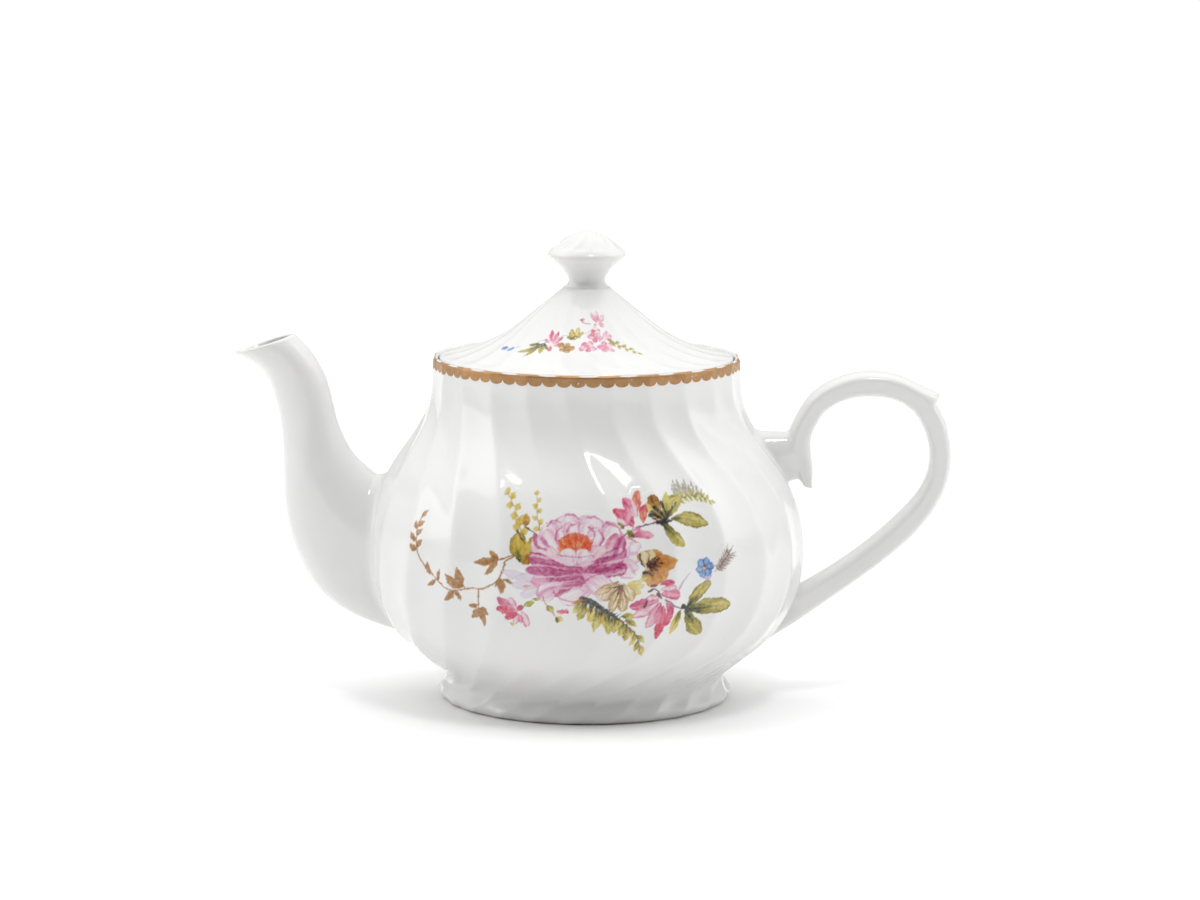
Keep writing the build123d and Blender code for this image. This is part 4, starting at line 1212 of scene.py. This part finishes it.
def glaze(name, printed=False):
    """White porcelain under a clear gloss glaze; a printed film carries its own inks."""
    s = Shader(name)
    colour = s.mix(s.spread(s.noise(scale=35, detail=3), 0, 1), GLAZE, GLAZE_COOL)
    pinholes = s.spread(s.noise(scale=1400, detail=1), 0, 0.25, start=0.76, end=0.82)
    colour = s.mix(pinholes, colour, PINHOLE)
    rough = s.spread(s.noise(scale=90, detail=3), 0.05, 0.1)
    if printed:
        grain = s.spread(s.noise(scale=2600, detail=1), 0, 0.07, start=0.4, end=0.65)
        ink = s.mix(grain, s.attribute("ink", "Color"), WHITE)
        colour = s.mix(1.0, colour, ink, "MULTIPLY")
    else:
        bare = s.attribute("bare", "Fac")
        body = s.mix(s.spread(s.noise(scale=900), 0, 1), BISQUE, BISQUE_DARK)
        colour = s.mix(bare, colour, body)
        rough = s.spread(bare, rough, BISQUE_ROUGHNESS, start=0, end=1)
    s.set("Base Color", colour)
    s.set("Roughness", rough)
    s.set("IOR", 1.5)
    s.bump(strength=0.25, distance=0.0004, scale=110)
    return s.material


def gold_lustre():
    """Fired gold: a metal film with streaks of the brush, worn through to the glaze in specks."""
    s = Shader("gold_lustre_fired")
    tone = s.mix(s.spread(s.noise(scale=420, detail=3), 0, 1), GOLD, GOLD_LIGHT)
    streak = s.spread(s.noise(scale=1800), 0, 0.35, start=0.45, end=0.7)
    tone = s.mix(streak, tone, GOLD_STREAK)
    worn = s.spread(s.noise(scale=750, detail=3, roughness=0.6), 0, 1, start=0.69, end=0.735)
    s.set("Base Color", s.mix(worn, tone, GLAZE))
    s.set("Metallic", s.spread(worn, GOLD_METALLIC, 0.0, start=0, end=1))
    s.set("Roughness", s.spread(s.noise(scale=600), 0.34, 0.5))
    s.bump(strength=0.2, distance=0.0001, scale=1500)
    return s.material


def backdrop():
    """Plain pale floor."""
    s = Shader("pale_floor")
    s.set("Base Color", s.mix(s.spread(s.noise(scale=3), 0, 1), (0.945, 0.945, 0.945), (0.955, 0.955, 0.955)))
    s.set("Roughness", 0.8)
    s.set("Specular IOR Level", 0.2)
    return s.material


# ---- the object ----

white = glaze("white_glaze_porcelain")
printed = glaze("white_glaze_printed", printed=True)
gold = gold_lustre()

pot = make_pot(white)
pot_tree = tree_of(pot)
make_spout(white, pot_tree)
make_handle(white, pot_tree)
drill(pot, strainer_drills())
bare = pot.data.attributes.new("bare", "FLOAT", "POINT")
height = np.array([v.co.z for v in pot.data.vertices]) / MM
reach = np.array([math.hypot(v.co.x, v.co.y) for v in pot.data.vertices]) / MM
unglazed = (height < BARE_FOOT_HEIGHT) & (reach > BARE_FOOT_RADIUS)
bare.data.foreach_set("value", unglazed.astype(np.float32))
make_gold_line(gold)
make_lid(white)
make_knob(white)

bouquet = paint_bouquet()
spray = paint_lid_spray()
for side, turned in (("front", 0.0), ("back", 180.0)):
    def on_pot(x, y, proud, turned=turned):
        return body_point(turned - 90 + np.degrees(x / FILM_RADIUS), y, proud)

    def on_lid(x, y, proud, turned=turned):
        return lid_point(turned - 90 + np.degrees(x / LID_FILM_RADIUS), y, proud)

    wrap(f"bouquet_print_{side}", bouquet, FILM_STEP, on_pot, printed, "pot")
    wrap(f"lid_print_{side}", spray, LID_FILM_STEP, on_lid, printed, "lid")

lug = bpy.data.objects["lid_lug"]
lug.data.materials.clear()
lug.data.materials.append(white)

# ---- floor, light and camera ----

FLOOR_HALF = 9.0
LIGHT_AIM = (0, 0, 0.08)
floor_mesh = bpy.data.meshes.new("floor")
corners = [(x * FLOOR_HALF, y * FLOOR_HALF, 0.0) for x, y in ((-1, -1), (1, -1), (1, 1), (-1, 1))]
floor_mesh.from_pydata(corners, [], [(0, 1, 2, 3)])
floor_mesh.materials.append(backdrop())
floor = new_object("floor", floor_mesh)


def softbox(name, azimuth, elevation, distance, width, height, power):
    """Rectangular light aimed at the pot; azimuth from the front towards the handle, in degrees."""
    light = bpy.data.lights.new(name, "AREA")
    light.shape = "RECTANGLE"
    light.size, light.size_y = width, height
    light.energy = power
    lamp = new_object(name, light)
    a, e = math.radians(azimuth), math.radians(elevation)
    aim = Vector(LIGHT_AIM)
    way = Vector((math.sin(a) * math.cos(e), -math.cos(a) * math.cos(e), math.sin(e)))
    lamp.location = aim + distance * way
    lamp.rotation_euler = (aim - lamp.location).to_track_quat("-Z", "Y").to_euler()


# azimuth and elevation, distance, width and height in metres, power in watts
SOFTBOXES = {
    "front_softbox": (21, 62, 1.3, 0.22, 0.26, 3.2),
    "small_softbox": (-52, 58, 1.3, 0.04, 0.12, 0.25),
    "left_softbox": (-88, 28, 1.5, 0.5, 1.2, 3.0),
    "right_softbox": (95, 28, 1.5, 0.5, 1.2, 1.8),
}
for name, placing in SOFTBOXES.items():
    softbox(name, *placing)

# the room is white at the sides and brighter overhead, dim on the camera's side and half as bright at
# the back, so that the pot's outline shows; Y and Z are the direction's share backwards and upwards
ROOM_BRIGHT = 1.05
ROOM_DIM = 0.0
DIM_FROM_TO = (-0.9, 0.3)  # share of Y over which the light grows from dim to bright
DIM_SLOPE = 0.05  # share of Z that is added to it
ROOM_BACK = 0.55
BACK_FROM_TO = (0.1, 0.9)
ROOM_OVERHEAD = 2.0


def light_room():
    """World light that depends on the direction it comes from."""
    world = bpy.data.worlds.new("studio")
    world.use_nodes = True
    bpy.context.scene.world = world
    room = Nodes(world.node_tree)
    facing = room.add("ShaderNodeTexCoord").outputs["Generated"]
    split = room.add("ShaderNodeSeparateXYZ", {0: facing})
    backwards, upwards = split.outputs["Y"], split.outputs["Z"]
    raised = room.add("ShaderNodeMath", {0: upwards, 1: DIM_SLOPE, 2: backwards}, operation="MULTIPLY_ADD")
    smooth = {"interpolation_type": "SMOOTHSTEP"}
    front = room.spread(raised.outputs[0], ROOM_DIM, ROOM_BRIGHT, *DIM_FROM_TO, **smooth)
    back = room.spread(backwards, 1.0, ROOM_BACK, *BACK_FROM_TO, **smooth)
    overhead = room.spread(upwards, 1.0, ROOM_OVERHEAD, 0.0, 1.0)
    sky = room.tree.nodes["Background"]
    room.feed(sky.inputs["Strength"], room.multiply(room.multiply(front, back), overhead))
    sky.inputs["Color"].default_value = (1.0, 1.0, 1.0, 1.0)


light_room()

CAMERA_PLACE = (0.0047, -1.3, 0.285)
CAMERA_DOWN = 8.804  # degrees below the level
CAMERA_ROLL = 0.3
FOCAL_LENGTH = 117.6
lens = bpy.data.cameras.new("photo_camera")
lens.sensor_width = 36.0
lens.lens = FOCAL_LENGTH
camera = new_object("photo_camera", lens)
camera.location = CAMERA_PLACE
tilt = Matrix.Rotation(math.radians(90 - CAMERA_DOWN), 3, "X")
camera.rotation_euler = (tilt @ Matrix.Rotation(math.radians(CAMERA_ROLL), 3, "Z")).to_euler()
bpy.context.scene.camera = camera
bpy.context.scene.view_settings.view_transform = "Standard"
